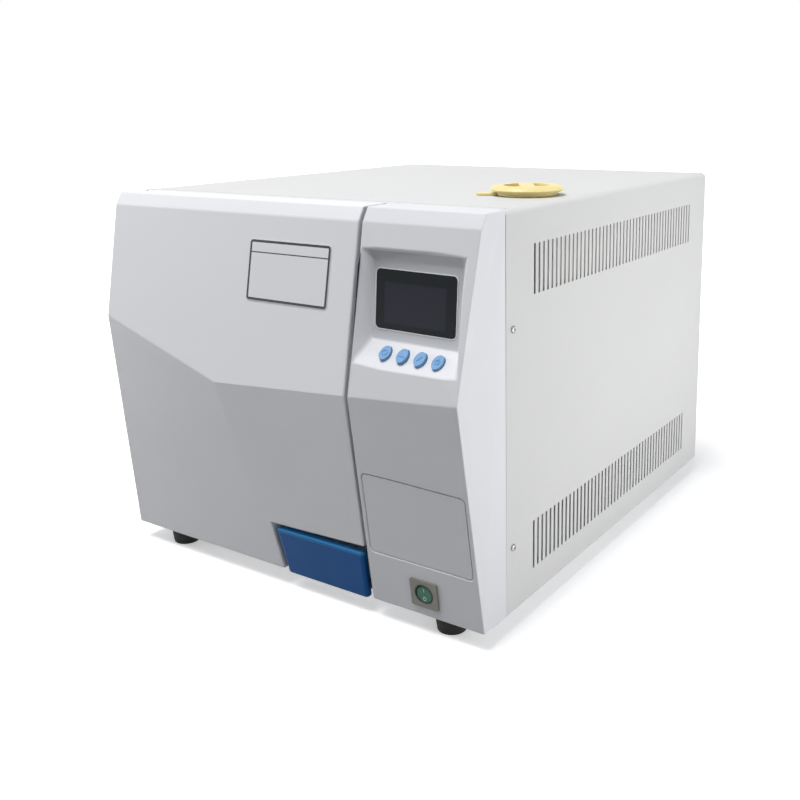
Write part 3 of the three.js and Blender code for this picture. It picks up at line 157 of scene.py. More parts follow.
class Finish:
    """A procedural material: a node tree with one Principled shader."""

    def __init__(self, name, colour, roughness, **settings):
        self.material = bpy.data.materials.new(name)
        self.material.use_nodes = True
        self.material.diffuse_color = (*colour, 1)
        self.tree = self.material.node_tree
        self.tree.nodes.clear()
        output = self.tree.nodes.new("ShaderNodeOutputMaterial")
        self.shader = self.tree.nodes.new("ShaderNodeBsdfPrincipled")
        self.tree.links.new(self.shader.outputs[0], output.inputs[0])
        self.set("Base Color", (*colour, 1))
        self.set("Roughness", roughness)
        for socket, value in settings.items():
            self.set(socket.replace("_", " "), value)
        self.points = self.add("ShaderNodeTexCoord", output="Object")

    def set(self, socket, value):
        self.plug(self.shader.inputs[socket], value)

    def plug(self, socket, value):
        if isinstance(value, Wire):
            self.tree.links.new(value.socket, socket)
        else:
            socket.default_value = value

    def add(self, kind, settings=None, inputs=None, output=0):
        node = self.tree.nodes.new(kind)
        for name, value in (settings or {}).items():
            setattr(node, name, value)
        for name, value in (inputs or {}).items():
            self.plug(node.inputs[name], value)
        return Wire(self, node.outputs[output])

    def axis(self, name):
        return self.add("ShaderNodeSeparateXYZ", None, {0: self.points}, output=name)

    def grain(self, size, stretch=(1, 1, 1), detail=2.0):
        """Noise from 0 to 1 whose blobs are about size metres across."""
        mapped = self.add("ShaderNodeMapping", None, {0: self.points, "Scale": stretch})
        settings = {"Vector": mapped, "Scale": 1 / size, "Detail": detail}
        return self.add("ShaderNodeTexNoise", None, settings)

    def mix(self, factor, first, second):
        ends = [(*c, 1) if isinstance(c, tuple) else c for c in (first, second)]
        inputs = {0: factor, 6: ends[0], 7: ends[1]}
        return self.add("ShaderNodeMix", {"data_type": "RGBA"}, inputs, output=2)

    def relief(self, height, depth):
        bump = {"Height": height, "Distance": depth, "Strength": 1.0}
        self.set("Normal", self.add("ShaderNodeBump", None, bump))


print("finishes are built from wires")

# %% [markdown]
# The door and the column are injection moulded in white plastic with a fine spark-eroded grain.
# A flat white would look like paper, so the colour drifts by up to three per cent, the roughness
# changes in patches a few centimetres wide, and two sizes of noise raise the grain.

# %% White moulded plastic
def shade(colour, share):
    return tuple(channel * share for channel in colour)


def ramp(wire, start, width):
    """0 below start, 1 above start + width, straight between."""
    return ((wire - start) * (1 / width)).most(0).least(1)


MOULD_GRAIN = 0.0006
CLOUD_SIZE = 0.05
SKIN_DRIFT = 0.97


def moulded(name, colour, roughness, drift=SKIN_DRIFT, depth=0.00003, **settings):
    finish = Finish(name, colour, roughness, **settings)
    cloud = finish.grain(CLOUD_SIZE, detail=3.0)
    fine = finish.grain(MOULD_GRAIN, detail=1.0)
    finish.set("Base Color", finish.mix(cloud, colour, shade(colour, drift)))
    finish.set("Roughness", cloud * 0.12 + fine * 0.05 + (roughness - 0.08))
    finish.relief(fine + finish.grain(MOULD_GRAIN * 4) * 0.6, depth)
    return finish


DOOR_WHITE = (0.74, 0.745, 0.77)
# The column's white is the door's white a tenth darker: a painted shade for the lesser light on
# its facets.
COLUMN_SHADED_WHITE = (0.665, 0.672, 0.70)
white_plastic = moulded("white_plastic", DOOR_WHITE, 0.4, Specular_IOR_Level=0.5)
shaded_column_plastic = moulded("shaded_column_plastic", COLUMN_SHADED_WHITE, 0.4, Specular_IOR_Level=0.5)
print(white_plastic.material.name, shaded_column_plastic.material.name)

# %% [markdown]
# The casing is sheet steel with a powder coat. The powder melts into a skin with a soft waviness
# about two millimetres wide, called orange peel, over a much finer texture. The same recipe in two
# greys serves the cover with the rear panel, and the frame behind the door.

# %% Powder coat on sheet steel
def powder_coat(name, colour, roughness=0.5):
    finish = Finish(name, colour, roughness, Specular_IOR_Level=0.1)
    cloud = finish.grain(0.12, detail=2.0)
    peel = finish.grain(0.0022, detail=1.0)
    finish.set("Base Color", finish.mix(cloud, colour, shade(colour, 0.975)))
    finish.set("Roughness", cloud * 0.1 + peel * 0.06 + (roughness - 0.08))
    finish.relief(peel + finish.grain(0.0005) * 0.4, 0.00004)
    return finish


casing_coat = powder_coat("casing_coat", (0.63, 0.63, 0.63))
frame_coat = powder_coat("frame_coat", (0.66, 0.665, 0.68), 0.46)
print(casing_coat.material.name, frame_coat.material.name)

# %% [markdown]
# Steel that is rolled or brushed shows fine lines along one direction. Noise that is stretched
# twenty to fifty times along that direction gives them, in the roughness and as a very shallow
# relief. The screws are bright all round, so the noise of theirs isn't stretched.

# %% Steel, aluminium and brass
def brushed(name, colour, roughness, stretch):
    finish = Finish(name, colour, roughness, Metallic=1.0)
    lines = finish.grain(0.0009, stretch, detail=3.0)
    cloud = finish.grain(0.04)
    finish.set("Base Color", finish.mix(cloud, colour, shade(colour, 0.9)))
    finish.set("Roughness", lines * 0.18 + cloud * 0.08 + (roughness - 0.12))
    finish.relief(lines, 0.00001)
    return finish


stainless = brushed("stainless", (0.62, 0.62, 0.61), 0.3, (1, 1, 0.02))
zinc_sheet = brushed("zinc_sheet", (0.56, 0.57, 0.58), 0.42, (1, 0.05, 1))
tray_metal = brushed("tray_metal", (0.74, 0.75, 0.76), 0.34, (1, 0.02, 1))
bright_screw = brushed("bright_screw", (0.36, 0.36, 0.355), 0.24, (1, 1, 1))
turned_brass = brushed("turned_brass", (0.62, 0.45, 0.19), 0.3, (0.03, 1, 0.03))
print("metals:", stainless.material.name, zinc_sheet.material.name, tray_metal.material.name)

# %% [markdown]
# The coloured plastics share the moulded recipe. The handle is a deep blue with a fine grain,
# the push buttons a pale blue, and the rocker a smoother green. The cap of the tank is a warm
# yellow polythene, so a little light passes under its skin.

# %% Coloured plastics
HANDLE_BLUE = (0.004, 0.088, 0.30)
HANDLE_DRIFT = 0.86
handle_blue = moulded("handle_blue", HANDLE_BLUE, 0.4, HANDLE_DRIFT, Specular_IOR_Level=0.15)
BUTTON_BLUE = (0.16, 0.33, 0.57)
button_blue = moulded("button_blue", BUTTON_BLUE, 0.42, drift=0.94, Specular_IOR_Level=0.3)
mark_blue = moulded("mark_blue", (0.10, 0.24, 0.50), 0.5, drift=0.9)
under_skin = {"Subsurface_Weight": 0.15, "Subsurface_Scale": 0.004}
cap_yellow = moulded("cap_yellow", (0.77, 0.65, 0.29), 0.4, drift=0.95, **under_skin)
ROCKER_GREEN = (0.015, 0.16, 0.095)
rocker_green = moulded("rocker_green", ROCKER_GREEN, 0.3, drift=0.8, Specular_IOR_Level=0.3)
rocker_mark = moulded("rocker_mark", (0.55, 0.72, 0.62), 0.5, drift=0.95)
bezel_grey = moulded("bezel_grey", (0.215, 0.205, 0.178), 0.48, drift=0.92)
dark_plastic = moulded("dark_plastic", (0.016, 0.016, 0.017), 0.5, drift=0.8)
pump_grey = moulded("pump_grey", (0.09, 0.09, 0.10), 0.5, drift=0.85)
natural_plastic = moulded("natural_plastic", (0.76, 0.75, 0.68), 0.45, drift=0.95)
print("plastics:", handle_blue.material.name, button_blue.material.name, cap_yellow.material.name)

# %% [markdown]
# Rubber and silicone scatter light at the surface: high roughness, no clear highlight, and a
# mottled, slightly dusty colour. The wool jacket is fibres, so its relief is deep and tangled,
# and a circuit board shows its copper tracks as faint bands under green lacquer.

# %% Rubber, wool and boards
def dusty(name, colour, dust, roughness):
    finish = Finish(name, colour, roughness, Specular_IOR_Level=0.3)
    cloud = finish.grain(0.012, detail=4.0)
    finish.set("Base Color", finish.mix(cloud * 0.5, colour, dust))
    finish.set("Roughness", cloud * 0.15 + (roughness - 0.08))
    finish.relief(finish.grain(0.0008), 0.00005)
    return finish


foot_rubber = dusty("foot_rubber", (0.006, 0.006, 0.007), (0.016, 0.016, 0.016), 0.7)
seal_silicone = dusty("seal_silicone", (0.62, 0.61, 0.58), (0.70, 0.69, 0.66), 0.5)
heater_mat = dusty("heater_mat", (0.32, 0.10, 0.05), (0.38, 0.16, 0.10), 0.6)

wool = Finish("wool", (0.66, 0.61, 0.50), 0.95)
fibres = wool.grain(0.002, (1, 0.3, 1), detail=6.0)
wool.set("Base Color", wool.mix(fibres, (0.48, 0.43, 0.34), (0.78, 0.74, 0.64)))
wool.relief(fibres, 0.0012)

board_green = Finish("board_green", (0.02, 0.12, 0.045), 0.35, Coat_Weight=0.4)
tracks = board_green.grain(0.003, (1, 0.15, 1), detail=0.0) > 0.55
board_green.set("Base Color", board_green.mix(tracks, (0.015, 0.10, 0.035), (0.04, 0.20, 0.07)))
board_green.relief(tracks, 0.00002)
print("soft and green finishes:", wool.material.name, board_green.material.name)

# %% [markdown]
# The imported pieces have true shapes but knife-sharp edges, and nothing real has those: a light
# catches on every rounded edge, and that is most of what makes an object look solid. So each
# piece is copied, its doubled points are merged and its flat faces joined, its edges are
# rounded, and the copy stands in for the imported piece. A face keeps a flat shade because the
# normals are weighted by area, so only the narrow rounded strips bend the light.

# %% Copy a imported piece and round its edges
def select_only(piece):
    bpy.ops.object.select_all(action="DESELECT")
    piece.select_set(True)
    bpy.context.view_layer.objects.active = piece


def apply_modifier(piece, kind, **settings):
    select_only(piece)
    modifier = piece.modifiers.new("step", kind)
    for name, value in settings.items():
        setattr(modifier, name, value)
    bpy.ops.object.modifier_apply(modifier=modifier.name)


def copy_of(node, name):
    piece = nodes[node].copy()
    piece.data = nodes[node].data.copy()
    piece.parent = None
    piece.name = name
    piece.data.name = name
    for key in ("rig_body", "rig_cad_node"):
        if key in piece:
            del piece[key]
    bpy.context.scene.collection.objects.link(piece)
    select_only(piece)
    bpy.ops.object.mode_set(mode="EDIT")
    bpy.ops.mesh.select_all(action="SELECT")
    bpy.ops.mesh.remove_doubles(threshold=0.000002)
    bpy.ops.mesh.dissolve_limited(angle_limit=math.radians(0.6))
    bpy.ops.object.mode_set(mode="OBJECT")
    return piece


BEVEL_WEIGHT = "bevel_weight_edge"


def weigh_edges(piece, choose):
    """Gives each edge the share of the rounding that choose(edge) returns."""
    mesh = bmesh.new()
    mesh.from_mesh(piece.data)
    weights = mesh.edges.layers.float
    layer = weights.get(BEVEL_WEIGHT) or weights.new(BEVEL_WEIGHT)
    for edge in mesh.edges:
        edge[layer] = choose(edge) if len(edge.link_faces) == 2 else 0
    mesh.to_mesh(piece.data)
    mesh.free()


def middle(edge):
    return (edge.verts[0].co + edge.verts[1].co) / 2


def direction(edge):
    return (edge.verts[1].co - edge.verts[0].co).normalized()


def sharp(edge, degrees=28):
    return edge.calc_face_angle(0) > math.radians(degrees)


def sharper_than(degrees):
    """A rule for soften that takes every edge beyond this angle."""
    return lambda edge: sharp(edge, degrees)


def long_crease(edge):
    """A crease between two facets: long, but hardly bent."""
    return sharp(edge, 2) and edge.calc_length() > mm(14)


def face_pick(piece, test):
    """Selects the faces that pass a test of their middle and direction, in edit mode."""
    bpy.ops.object.mode_set(mode="EDIT")
    bpy.ops.mesh.select_mode(type="FACE")
    bpy.ops.mesh.select_all(action="DESELECT")
    mesh = bmesh.from_edit_mesh(piece.data)
    for face in mesh.faces:
        face.select_set(test(face.calc_center_median(), face.normal))
    bmesh.update_edit_mesh(piece.data)


def soften(piece, width, choose=sharp, segments=2, clamp=True):
    weigh_edges(piece, choose)
    settings = {"limit_method": "WEIGHT", "use_clamp_overlap": clamp}
    apply_modifier(piece, "BEVEL", width=width, segments=segments, **settings)


def smooth(piece):
    select_only(piece)
    bpy.ops.object.shade_smooth_by_angle(angle=math.radians(32))
    apply_modifier(piece, "WEIGHTED_NORMAL", keep_sharp=True, weight=80)


def coat(piece, finish):
    piece.data.materials.clear()
    piece.data.materials.append(finish.material)


def stand_for(piece, node):
    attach(piece, body_of[node])
    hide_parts(node)


def dress(node, finish, width=0.0004, choose=sharp, segments=2, clamp=True):
    piece = copy_of(node, node + "_piece")
    soften(piece, width, choose, segments, clamp)
    smooth(piece)
    coat(piece, finish)
    stand_for(piece, node)
    return piece


print("pieces can be copied, softened and dressed")

# %% [markdown]
# The door's facets meet at angles of only ten to twenty degrees, yet their creases are what the
# eye reads first. A rule that rounds only sharp corners would miss them, so the rule for the
# door also takes long shallow edges. It leaves out the round relief beside the hinge and the
# thin rim at the back, where a wide rounding would eat the wall.

# %% Door moulding
MOULDING_BACK = place(0, 33, 0).y
HINGE_RELIEF = place(-226, 14, 0)


def door_edges(edge):
    spot = middle(edge)
    beside_hinge = spot.x < HINGE_RELIEF.x and spot.y > HINGE_RELIEF.y
    if beside_hinge or spot.y > MOULDING_BACK:
        return 0
    return sharp(edge) or long_crease(edge)


door_cover = dress("door_cover", white_plastic, mm(1.5), door_edges, segments=3, clamp=False)
print("door faces:", len(door_cover.data.polygons))

# %% [markdown]
# Less light reaches into the recess of the display, so its skin gets a painted shade, darkest
# under its top edge. The painted shade is laid by place: between the recess's sides and between
# its shelf and its top edge, soft at the sides and stronger with the height.

# %% Painted shade in the recess
RECESS_LOW = place(115, 0, 268)
RECESS_HIGH = place(222, 0, 350.6)
UPPER_PART = place(0, 0, 300).z
PAINTED_SHADE_SHARE = 0.62


def grey_recess(finish):
    across, height = finish.axis("X"), finish.axis("Z")
    beside = ramp(across, RECESS_LOW.x, mm(8)) * (1 - ramp(across, RECESS_HIGH.x, mm(6)))
    tall = ramp(height, RECESS_LOW.z, mm(6)) * (1 - ramp(height, RECESS_HIGH.z, mm(1.2)))
    upper = ramp(height, UPPER_PART, mm(50))
    # Painted shade: the colour darkens inside the recess, more towards its top edge.
    painted_shade = beside * tall * (upper * 0.6 + 0.4)
    cloud = finish.grain(CLOUD_SIZE, detail=3.0)
    clean = finish.mix(cloud, COLUMN_SHADED_WHITE, shade(COLUMN_SHADED_WHITE, SKIN_DRIFT))
    finish.set("Base Color", finish.mix(painted_shade, clean, shade(COLUMN_SHADED_WHITE, PAINTED_SHADE_SHARE)))


grey_recess(shaded_column_plastic)
print("recess skin shaded")

# %% [markdown]
# The column has the same skin, a painted shade darker, and one deep feature: the recess of the
# display. Its four inner corners run from the rim to the back, and a mould maker gives such
# corners a larger radius than the rest. An edge's weight sets its share of the one rounding, so
# the corners take all of it and the other edges about a third. The shelf is a slightly twisted
# face in two parts, and the seam between them stays unrounded, so that it doesn't show.

# %% Control column
RECESS_CENTRE = place(174, 0, 307)
SMALL_SHARE = 0.36


def column_edges(edge):
    spot = middle(edge)
    across = abs(spot.x - RECESS_CENTRE.x)
    above = abs(spot.z - RECESS_CENTRE.z)
    if spot.y > MOULDING_BACK:
        return 0
    if all(face.normal.z > 0.4 for face in edge.link_faces) and above < mm(62):
        return 0
    in_recess = mm(44) < across < mm(64) and mm(30) < above < mm(62)
    if in_recess and abs(direction(edge).y) > 0.45 and edge.calc_length() > mm(6):
        return 1
    return SMALL_SHARE if sharp(edge) or long_crease(edge) else 0


column = dress("column_fascia", shaded_column_plastic, mm(3.2), column_edges, segments=3, clamp=False)
print("column faces:", len(column.data.polygons))

# %% [markdown]
# The cover is one folded sheet, with a broad fold along each top edge and two combs of slots in
# each side. The slots are punched before painting, so their edges carry a tiny soft burr. One
# narrow strip is enough there: almost two hundred slots would make a finer one costly.

# %% Casing cover and its neighbours
dress("casing_cover", casing_coat, mm(0.3), segments=1)
dress("front_frame", frame_coat, mm(0.4), segments=1)
dress("rear_panel", casing_coat, mm(0.4))
dress("base_pan", zinc_sheet, mm(0.4))
dress("printer_cover", shaded_column_plastic, mm(0.5), sharper_than(40))
print("casing dressed")

# %% [markdown]
# The handle is a wide wedge with a generous rounding all round its face. Behind it the shaft and
# the crank stay crisp. The rule picks the long edges of the wedge by their place. A band along the
# upper edge is a paler blue: a painted highlight where the light would catch the rounding.

# %% Handle
GRIP_TOP = place(0, 0, 49).z
PAINTED_HIGHLIGHT_BLUE = (0.04, 0.24, 0.52)


def handle_edges(edge):
    on_grip = middle(edge).z <= GRIP_TOP + mm(1)
    return on_grip and sharp(edge, 40) and edge.calc_length() > mm(8)


grip_height = handle_blue.axis("Z")
band_end = ramp(grip_height, GRIP_TOP + mm(1), mm(1))
# Painted highlight: a paler blue band along the upper edge of the grip.
painted_highlight = ramp(grip_height, GRIP_TOP - mm(5), mm(2)) * (1 - band_end)
cloud = handle_blue.grain(CLOUD_SIZE, detail=3.0)
plain = handle_blue.mix(cloud, HANDLE_BLUE, shade(HANDLE_BLUE, HANDLE_DRIFT))
handle_blue.set("Base Color", handle_blue.mix(painted_highlight * 0.7, plain, PAINTED_HIGHLIGHT_BLUE))
dress("door_handle", handle_blue, mm(3.5), handle_edges, segments=4, clamp=False)
print("handle dressed, its grip ends", round(GRIP_TOP, 3), "above the bench")

# %% [markdown]
# Everything behind the door and under the cover shows when the door swings open, through the
# slots or in a cutaway view. These pieces get their own finishes and a small rounding each.

# %% Inner pieces
inner = {
    "door_arm": (zinc_sheet, 0.6),
    "pressure_plate": (stainless, 0.5),
    "door_gasket": (seal_silicone, 0.3),
    "hinge_post": (zinc_sheet, 0.5),
    "hinge_pin_upper": (stainless, 0.3),
    "hinge_pin_lower": (stainless, 0.3),
    "latch_bolt": (stainless, 0.4),
    "latch_keeper": (zinc_sheet, 0.3),
    "chamber_vessel": (stainless, 0.5),
    "tray_rack": (stainless, 0.2),
    "tray_1": (tray_metal, 0.3),
    "tray_2": (tray_metal, 0.3),
    "tray_3": (tray_metal, 0.3),
    "insulation": (wool, 2.0),
    "heater_band": (heater_mat, 0.3),
    "cradle_front": (zinc_sheet, 0.5),
    "cradle_rear": (zinc_sheet, 0.5),
    "water_tank": (natural_plastic, 1.0),
    "tank_post_front": (zinc_sheet, 0.3),
    "tank_post_rear": (zinc_sheet, 0.3),
    "display_module": (board_green, 0.3),
    "button_board": (board_green, 0.2),
    "main_board": (board_green, 0.2),
    "water_pump": (pump_grey, 0.8),
    "solenoid_valve_1": (turned_brass, 0.5),
    "solenoid_valve_2": (turned_brass, 0.5),
    "feed_pipe": (seal_silicone, 0.2),
    "power_supply": (zinc_sheet, 0.5),
    "condenser": (tray_metal, 0.2),
    "safety_valve": (turned_brass, 0.4),
    "drain_fitting": (turned_brass, 0.3),
    "power_inlet": (dark_plastic, 0.5),
    "fuse_holder_l": (dark_plastic, 0.5),
    "fuse_holder_r": (dark_plastic, 0.5),
}
for node, (finish, width) in inner.items():
    dress(node, finish, mm(width))
print("inner pieces dressed:", len(inner))

# %% [markdown]
# The tank cap is a low yellow disc with two finger wells. It is turned, so its rim should read
# as a soft continuous curve: the ring edges are rounded wide, and the shallow edges between the
# facets of the disc are left to the smooth shading.

# %% Tank cap
dress("tank_cap", cap_yellow, mm(0.8), sharper_than(24), segments=3)
print("cap dressed")

# %% [markdown]
# The display is a black window over a dark panel. The panel's active area is a shade lighter
# than its frame, with a soft border. Both lie in one smooth plate, so the difference is painted
# by place. The plate is treated against glare, so it reflects little.

# %% Display window
PANEL_LOW = place(135, 0, 283.5)
PANEL_HIGH = place(207, 0, 323.5)
PANEL_BORDER = mm(2.5)
FRAME_BLACK = (0.012, 0.015, 0.018)
PANEL_BLACK = (0.024, 0.027, 0.038)


def between(wire, low, high):
    """1 between low and high, with a soft border inside each."""
    return ramp(wire, low, PANEL_BORDER) * (1 - ramp(wire, high - PANEL_BORDER, PANEL_BORDER))


window_glass = Finish("window_glass", (0.012, 0.014, 0.016), 0.2, Specular_IOR_Level=0.1)
panel_across = between(window_glass.axis("X"), PANEL_LOW.x, PANEL_HIGH.x)
panel_tall = between(window_glass.axis("Z"), PANEL_LOW.z, PANEL_HIGH.z)
panel = window_glass.mix(panel_across * panel_tall, FRAME_BLACK, PANEL_BLACK)
window_glass.set("Base Color", panel)
window_glass.set("Roughness", window_glass.grain(0.03) * 0.1 + 0.15)
print("glass ready:", window_glass.material.name)

# %% [markdown]
# A thin lip of the moulding frames the window and catches the light. It is made from a copy of
# the window: only the front face is kept and made a little larger, an inset divides a ring from
# it, the middle is taken away, and a solidify modifier gives the ring its thickness.

# %% Lip round the window
LIP_WIDTH = mm(1.0)


def window_lip():
    lip = copy_of("display_window", "window_lip")
    face_pick(lip, lambda spot, normal: normal.y < -0.9)
    bpy.ops.mesh.select_all(action="INVERT")
    bpy.ops.mesh.delete(type="FACE")
    bpy.ops.mesh.select_all(action="SELECT")
    low_corner, high_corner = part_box("display_window")
    size = high_corner - low_corner
    grown = ((size.x + 2 * LIP_WIDTH) / size.x, 1, (size.z + 2 * LIP_WIDTH) / size.z)
    bpy.ops.transform.resize(value=grown, center_override=(low_corner + high_corner) / 2)
    bpy.ops.mesh.inset(thickness=LIP_WIDTH, depth=0)
    bpy.ops.mesh.delete(type="FACE")
    bpy.ops.object.mode_set(mode="OBJECT")
    apply_modifier(lip, "SOLIDIFY", thickness=mm(0.8), offset=-1)
    corners = {"limit_method": "ANGLE", "angle_limit": math.radians(60)}
    apply_modifier(lip, "BEVEL", width=mm(0.25), segments=2, **corners)
    smooth(lip)
    coat(lip, white_plastic)
    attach(lip, body_of["display_window"])
    return lip


lip = window_lip()
dress("display_window", window_glass, mm(0.5))
print("display dressed, lip faces:", len(lip.data.polygons))

# %% [markdown]
# The buttons are small oval pale-blue caps on the sloping shelf. One is modelled lying flat: a
# cylinder whose top face is inset and pressed in to leave a rim, and whose top edge is rounded,
# and which is then squeezed to an oval. A raised mark is joined on, a different simple one for
# each, and each cap is then tilted to the shelf and moved to its hole.

# %% Button cap
SHELF_NORMAL = Vector((0, -19.5, 21.55)).normalized()
CAP_RADIUS = mm(7.8)
CAP_NARROW = 0.72
CAP_PROUD = mm(2.2)
MARK_HEIGHT = mm(2.1)
STEM_RADIUS = mm(3)


def finish_transform(piece):
    select_only(piece)
    bpy.ops.object.transform_apply(location=True, rotation=True, scale=True)


def cylinder(name, radius, low, high, sides):
    bpy.ops.object.select_all(action="DESELECT")
    bpy.ops.mesh.primitive_cylinder_add(
        vertices=sides, radius=radius, depth=high - low, location=(0, 0, (low + high) / 2)
    )
    piece = bpy.context.object
    piece.name = name
    finish_transform(piece)
    return piece


def block(name, size, centre, turn_z=0.0):
    bpy.ops.object.select_all(action="DESELECT")
    bpy.ops.mesh.primitive_cube_add(size=1, location=centre, rotation=(0, 0, turn_z), scale=size)
    piece = bpy.context.object
    piece.name = name
    finish_transform(piece)
    return piece


def join(pieces):
    bpy.ops.object.select_all(action="DESELECT")
    for piece in pieces:
        piece.select_set(True)
    bpy.context.view_layer.objects.active = pieces[0]
    bpy.ops.object.join()
    return pieces[0]


def ring(name, radius, thickness, height):
    bpy.ops.object.select_all(action="DESELECT")
    bpy.ops.mesh.primitive_torus_add(
        major_radius=radius,
        minor_radius=thickness,
        major_segments=28,
        minor_segments=8,
        location=(0, 0, height),
    )
    piece = bpy.context.object
    piece.name = name
    finish_transform(piece)
    return piece


def button_cap(name):
    cap = cylinder(name, CAP_RADIUS, mm(-1.6), CAP_PROUD, 40)
    face_pick(cap, lambda spot, normal: normal.z > 0.9)
    bpy.ops.mesh.inset(thickness=mm(0.9), depth=0)
    bpy.ops.mesh.inset(thickness=mm(0.5), depth=mm(-0.25))
    bpy.ops.object.mode_set(mode="OBJECT")
    soften(cap, mm(0.5), lambda edge: sharp(edge, 50) and middle(edge).z > 0)
    cap.scale.x = CAP_NARROW
    finish_transform(cap)
    stem = cylinder(name + "_stem", STEM_RADIUS, mm(-12.2), mm(-1.2), 20)
    return join([cap, stem])


def button_mark(kind):
    stroke, thick = mm(0.9), mm(0.5)
    if kind == "ring":
        return [ring("mark", mm(2.7), mm(0.3), MARK_HEIGHT)]
    if kind == "dash":
        return [block("mark", (mm(6), stroke, thick), (0, mm(-1), MARK_HEIGHT))]
    if kind == "slash":
        return [block("mark", (mm(6.5), stroke, thick), (0, 0, MARK_HEIGHT), math.radians(50))]
    bar = block("mark_bar", (stroke, mm(3.4), thick), (0, mm(1.6), MARK_HEIGHT))
    return [ring("mark", mm(2.5), mm(0.3), MARK_HEIGHT), bar]


print("button tools ready")

# %% [markdown]
# The shelf leans forward, and it is deeper at the right than at the left. So the middle of each
# cap is worked out from its place between the shelf's two sides, halfway from the back to the
# rim, and all caps share one tilt.

# %% Four buttons
SHELF_SIDES = (122.5, 224)
SHELF_BACK = (5.0, 8.9)
SHELF_RIM = (23.5, 33.5)
SHELF_MIDDLE_HEIGHT = (268.5 + 249) / 2
FIRST_BUTTON = 145.9
BUTTON_PITCH = 20.3


def shelf_spot(x):
    across = (x - SHELF_SIDES[0]) / (SHELF_SIDES[1] - SHELF_SIDES[0])
    back = SHELF_BACK[0] + (SHELF_BACK[1] - SHELF_BACK[0]) * across
    rim = SHELF_RIM[0] + (SHELF_RIM[1] - SHELF_RIM[0]) * across
    return place(x, -(back + rim) / 2, SHELF_MIDDLE_HEIGHT)


def make_button(number, x, kind):
    node = "button_" + str(number)
    cap = button_cap(node + "_cap")
    coat(cap, button_blue)
    marks = join(button_mark(kind))
    coat(marks, mark_blue)
    piece = join([cap, marks])
    piece.rotation_mode = "QUATERNION"
    piece.rotation_quaternion = Vector((0, 0, 1)).rotation_difference(SHELF_NORMAL)
    piece.location = shelf_spot(x)
    finish_transform(piece)
    smooth(piece)
    stand_for(piece, node)
    return piece


for number, kind in enumerate(("ring", "dash", "slash", "power"), start=1):
    button = make_button(number, FIRST_BUTTON + BUTTON_PITCH * (number - 1), kind)
    low_corner, high_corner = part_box("button_" + str(number))
    print(button.name, "sits", [round(v, 4) for v in (low_corner + high_corner) / 2])

# %% [markdown]
# The switch is a square housing with a round green rocker that tilts about its middle. Its two
# marks are the plain bar and ring that stand for on and off. They are thin solids that lean with
# the rocker, so they are made flat, turned upright, tilted by nine degrees and set on its face.

# %% Power switch
LOWER_SLOPE = 37 / 228
SWITCH_X, SWITCH_Z = 176, 25
SWITCH_Y = -SWITCH_Z * LOWER_SLOPE
ROCKER_AXIS = place(SWITCH_X, SWITCH_Y + 3, SWITCH_Z)
ROCKER_TILT = math.radians(9)
MARK_SPREAD = mm(4.6)
MARK_PROUD = mm(4)

dress("switch_bezel", bezel_grey, mm(0.9), segments=3)
dress("switch_rocker", rocker_green, mm(0.5), sharper_than(34))
on_mark = block("on_mark", (mm(0.8), mm(3.6), mm(0.3)), (0, MARK_SPREAD, MARK_PROUD))
off_mark = ring("off_mark", mm(1.7), mm(0.3), MARK_PROUD)
off_mark.location.y = -MARK_SPREAD
finish_transform(off_mark)
marks = join([on_mark, off_mark])
marks.name = "rocker_marks"
coat(marks, rocker_mark)
marks.matrix_world = (
    Matrix.Translation(ROCKER_AXIS) @ Matrix.Rotation(math.pi / 2 + ROCKER_TILT, 4, "X")
)
finish_transform(marks)
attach(marks, "rocker")
print("switch marks at", [round(v, 4) for v in marks.location])

# %% [markdown]
# A dark seal ring lies round the rocker's opening. It is a torus sunk half into the housing's
# face, which is parallel to the lower facet.

# %% Seal ring of the switch
SWITCH_FACING = Vector((0, -1, -LOWER_SLOPE))
SEAL_RADIUS = mm(10.35)
SEAL_THICKNESS = mm(0.65)

seal_ring = ring("switch_ring", SEAL_RADIUS, SEAL_THICKNESS, 0)
seal_ring.rotation_mode = "QUATERNION"
seal_ring.rotation_quaternion = Vector((0, 0, 1)).rotation_difference(SWITCH_FACING)
seal_ring.location = place(SWITCH_X, SWITCH_Y - 1.3, SWITCH_Z)
finish_transform(seal_ring)
smooth(seal_ring)
coat(seal_ring, dark_plastic)
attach(seal_ring, body_of["switch_bezel"])
print("ring faces:", len(seal_ring.data.polygons))

# %% [markdown]
# Four rubber feet carry the machine. One foot is a tapered cylinder whose underside is inset
# and pushed up for the head of its screw, and whose lower edge is worn round. Each is made at
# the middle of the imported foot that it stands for.

# %% Feet
FOOT_BOTTOM = mm(14.5)
FOOT_TOP = mm(17)
SCREW_WELL = mm(6)


def foot_form(node):
    low_corner, high_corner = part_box(node)
    centre = (low_corner + high_corner) / 2
    bpy.ops.object.select_all(action="DESELECT")
    bpy.ops.mesh.primitive_cone_add(
        vertices=40,
        radius1=FOOT_BOTTOM,
        radius2=FOOT_TOP,
        depth=high_corner.z - low_corner.z,
        location=centre,
    )
    foot = bpy.context.object
    foot.name = node + "_piece"
    finish_transform(foot)
    face_pick(foot, lambda spot, normal: normal.z < -0.9)
    bpy.ops.mesh.inset(thickness=SCREW_WELL, depth=0)
    bpy.ops.mesh.inset(thickness=mm(0.6), depth=-SCREW_WELL)
    bpy.ops.object.mode_set(mode="OBJECT")
    soften(foot, mm(1.2), sharper_than(50), 3)
    smooth(foot)
    coat(foot, foot_rubber)
    stand_for(foot, node)


for corner in ("fl", "fr", "rl", "rr"):
    foot_form("foot_" + corner)

# %% [markdown]
# The side screws have a domed head with a cross recess. The head is a short cylinder with a
# wide rounding, and two thin blocks cut the cross with a boolean modifier. It is modelled
# pointing up and then turned to the side it belongs to.

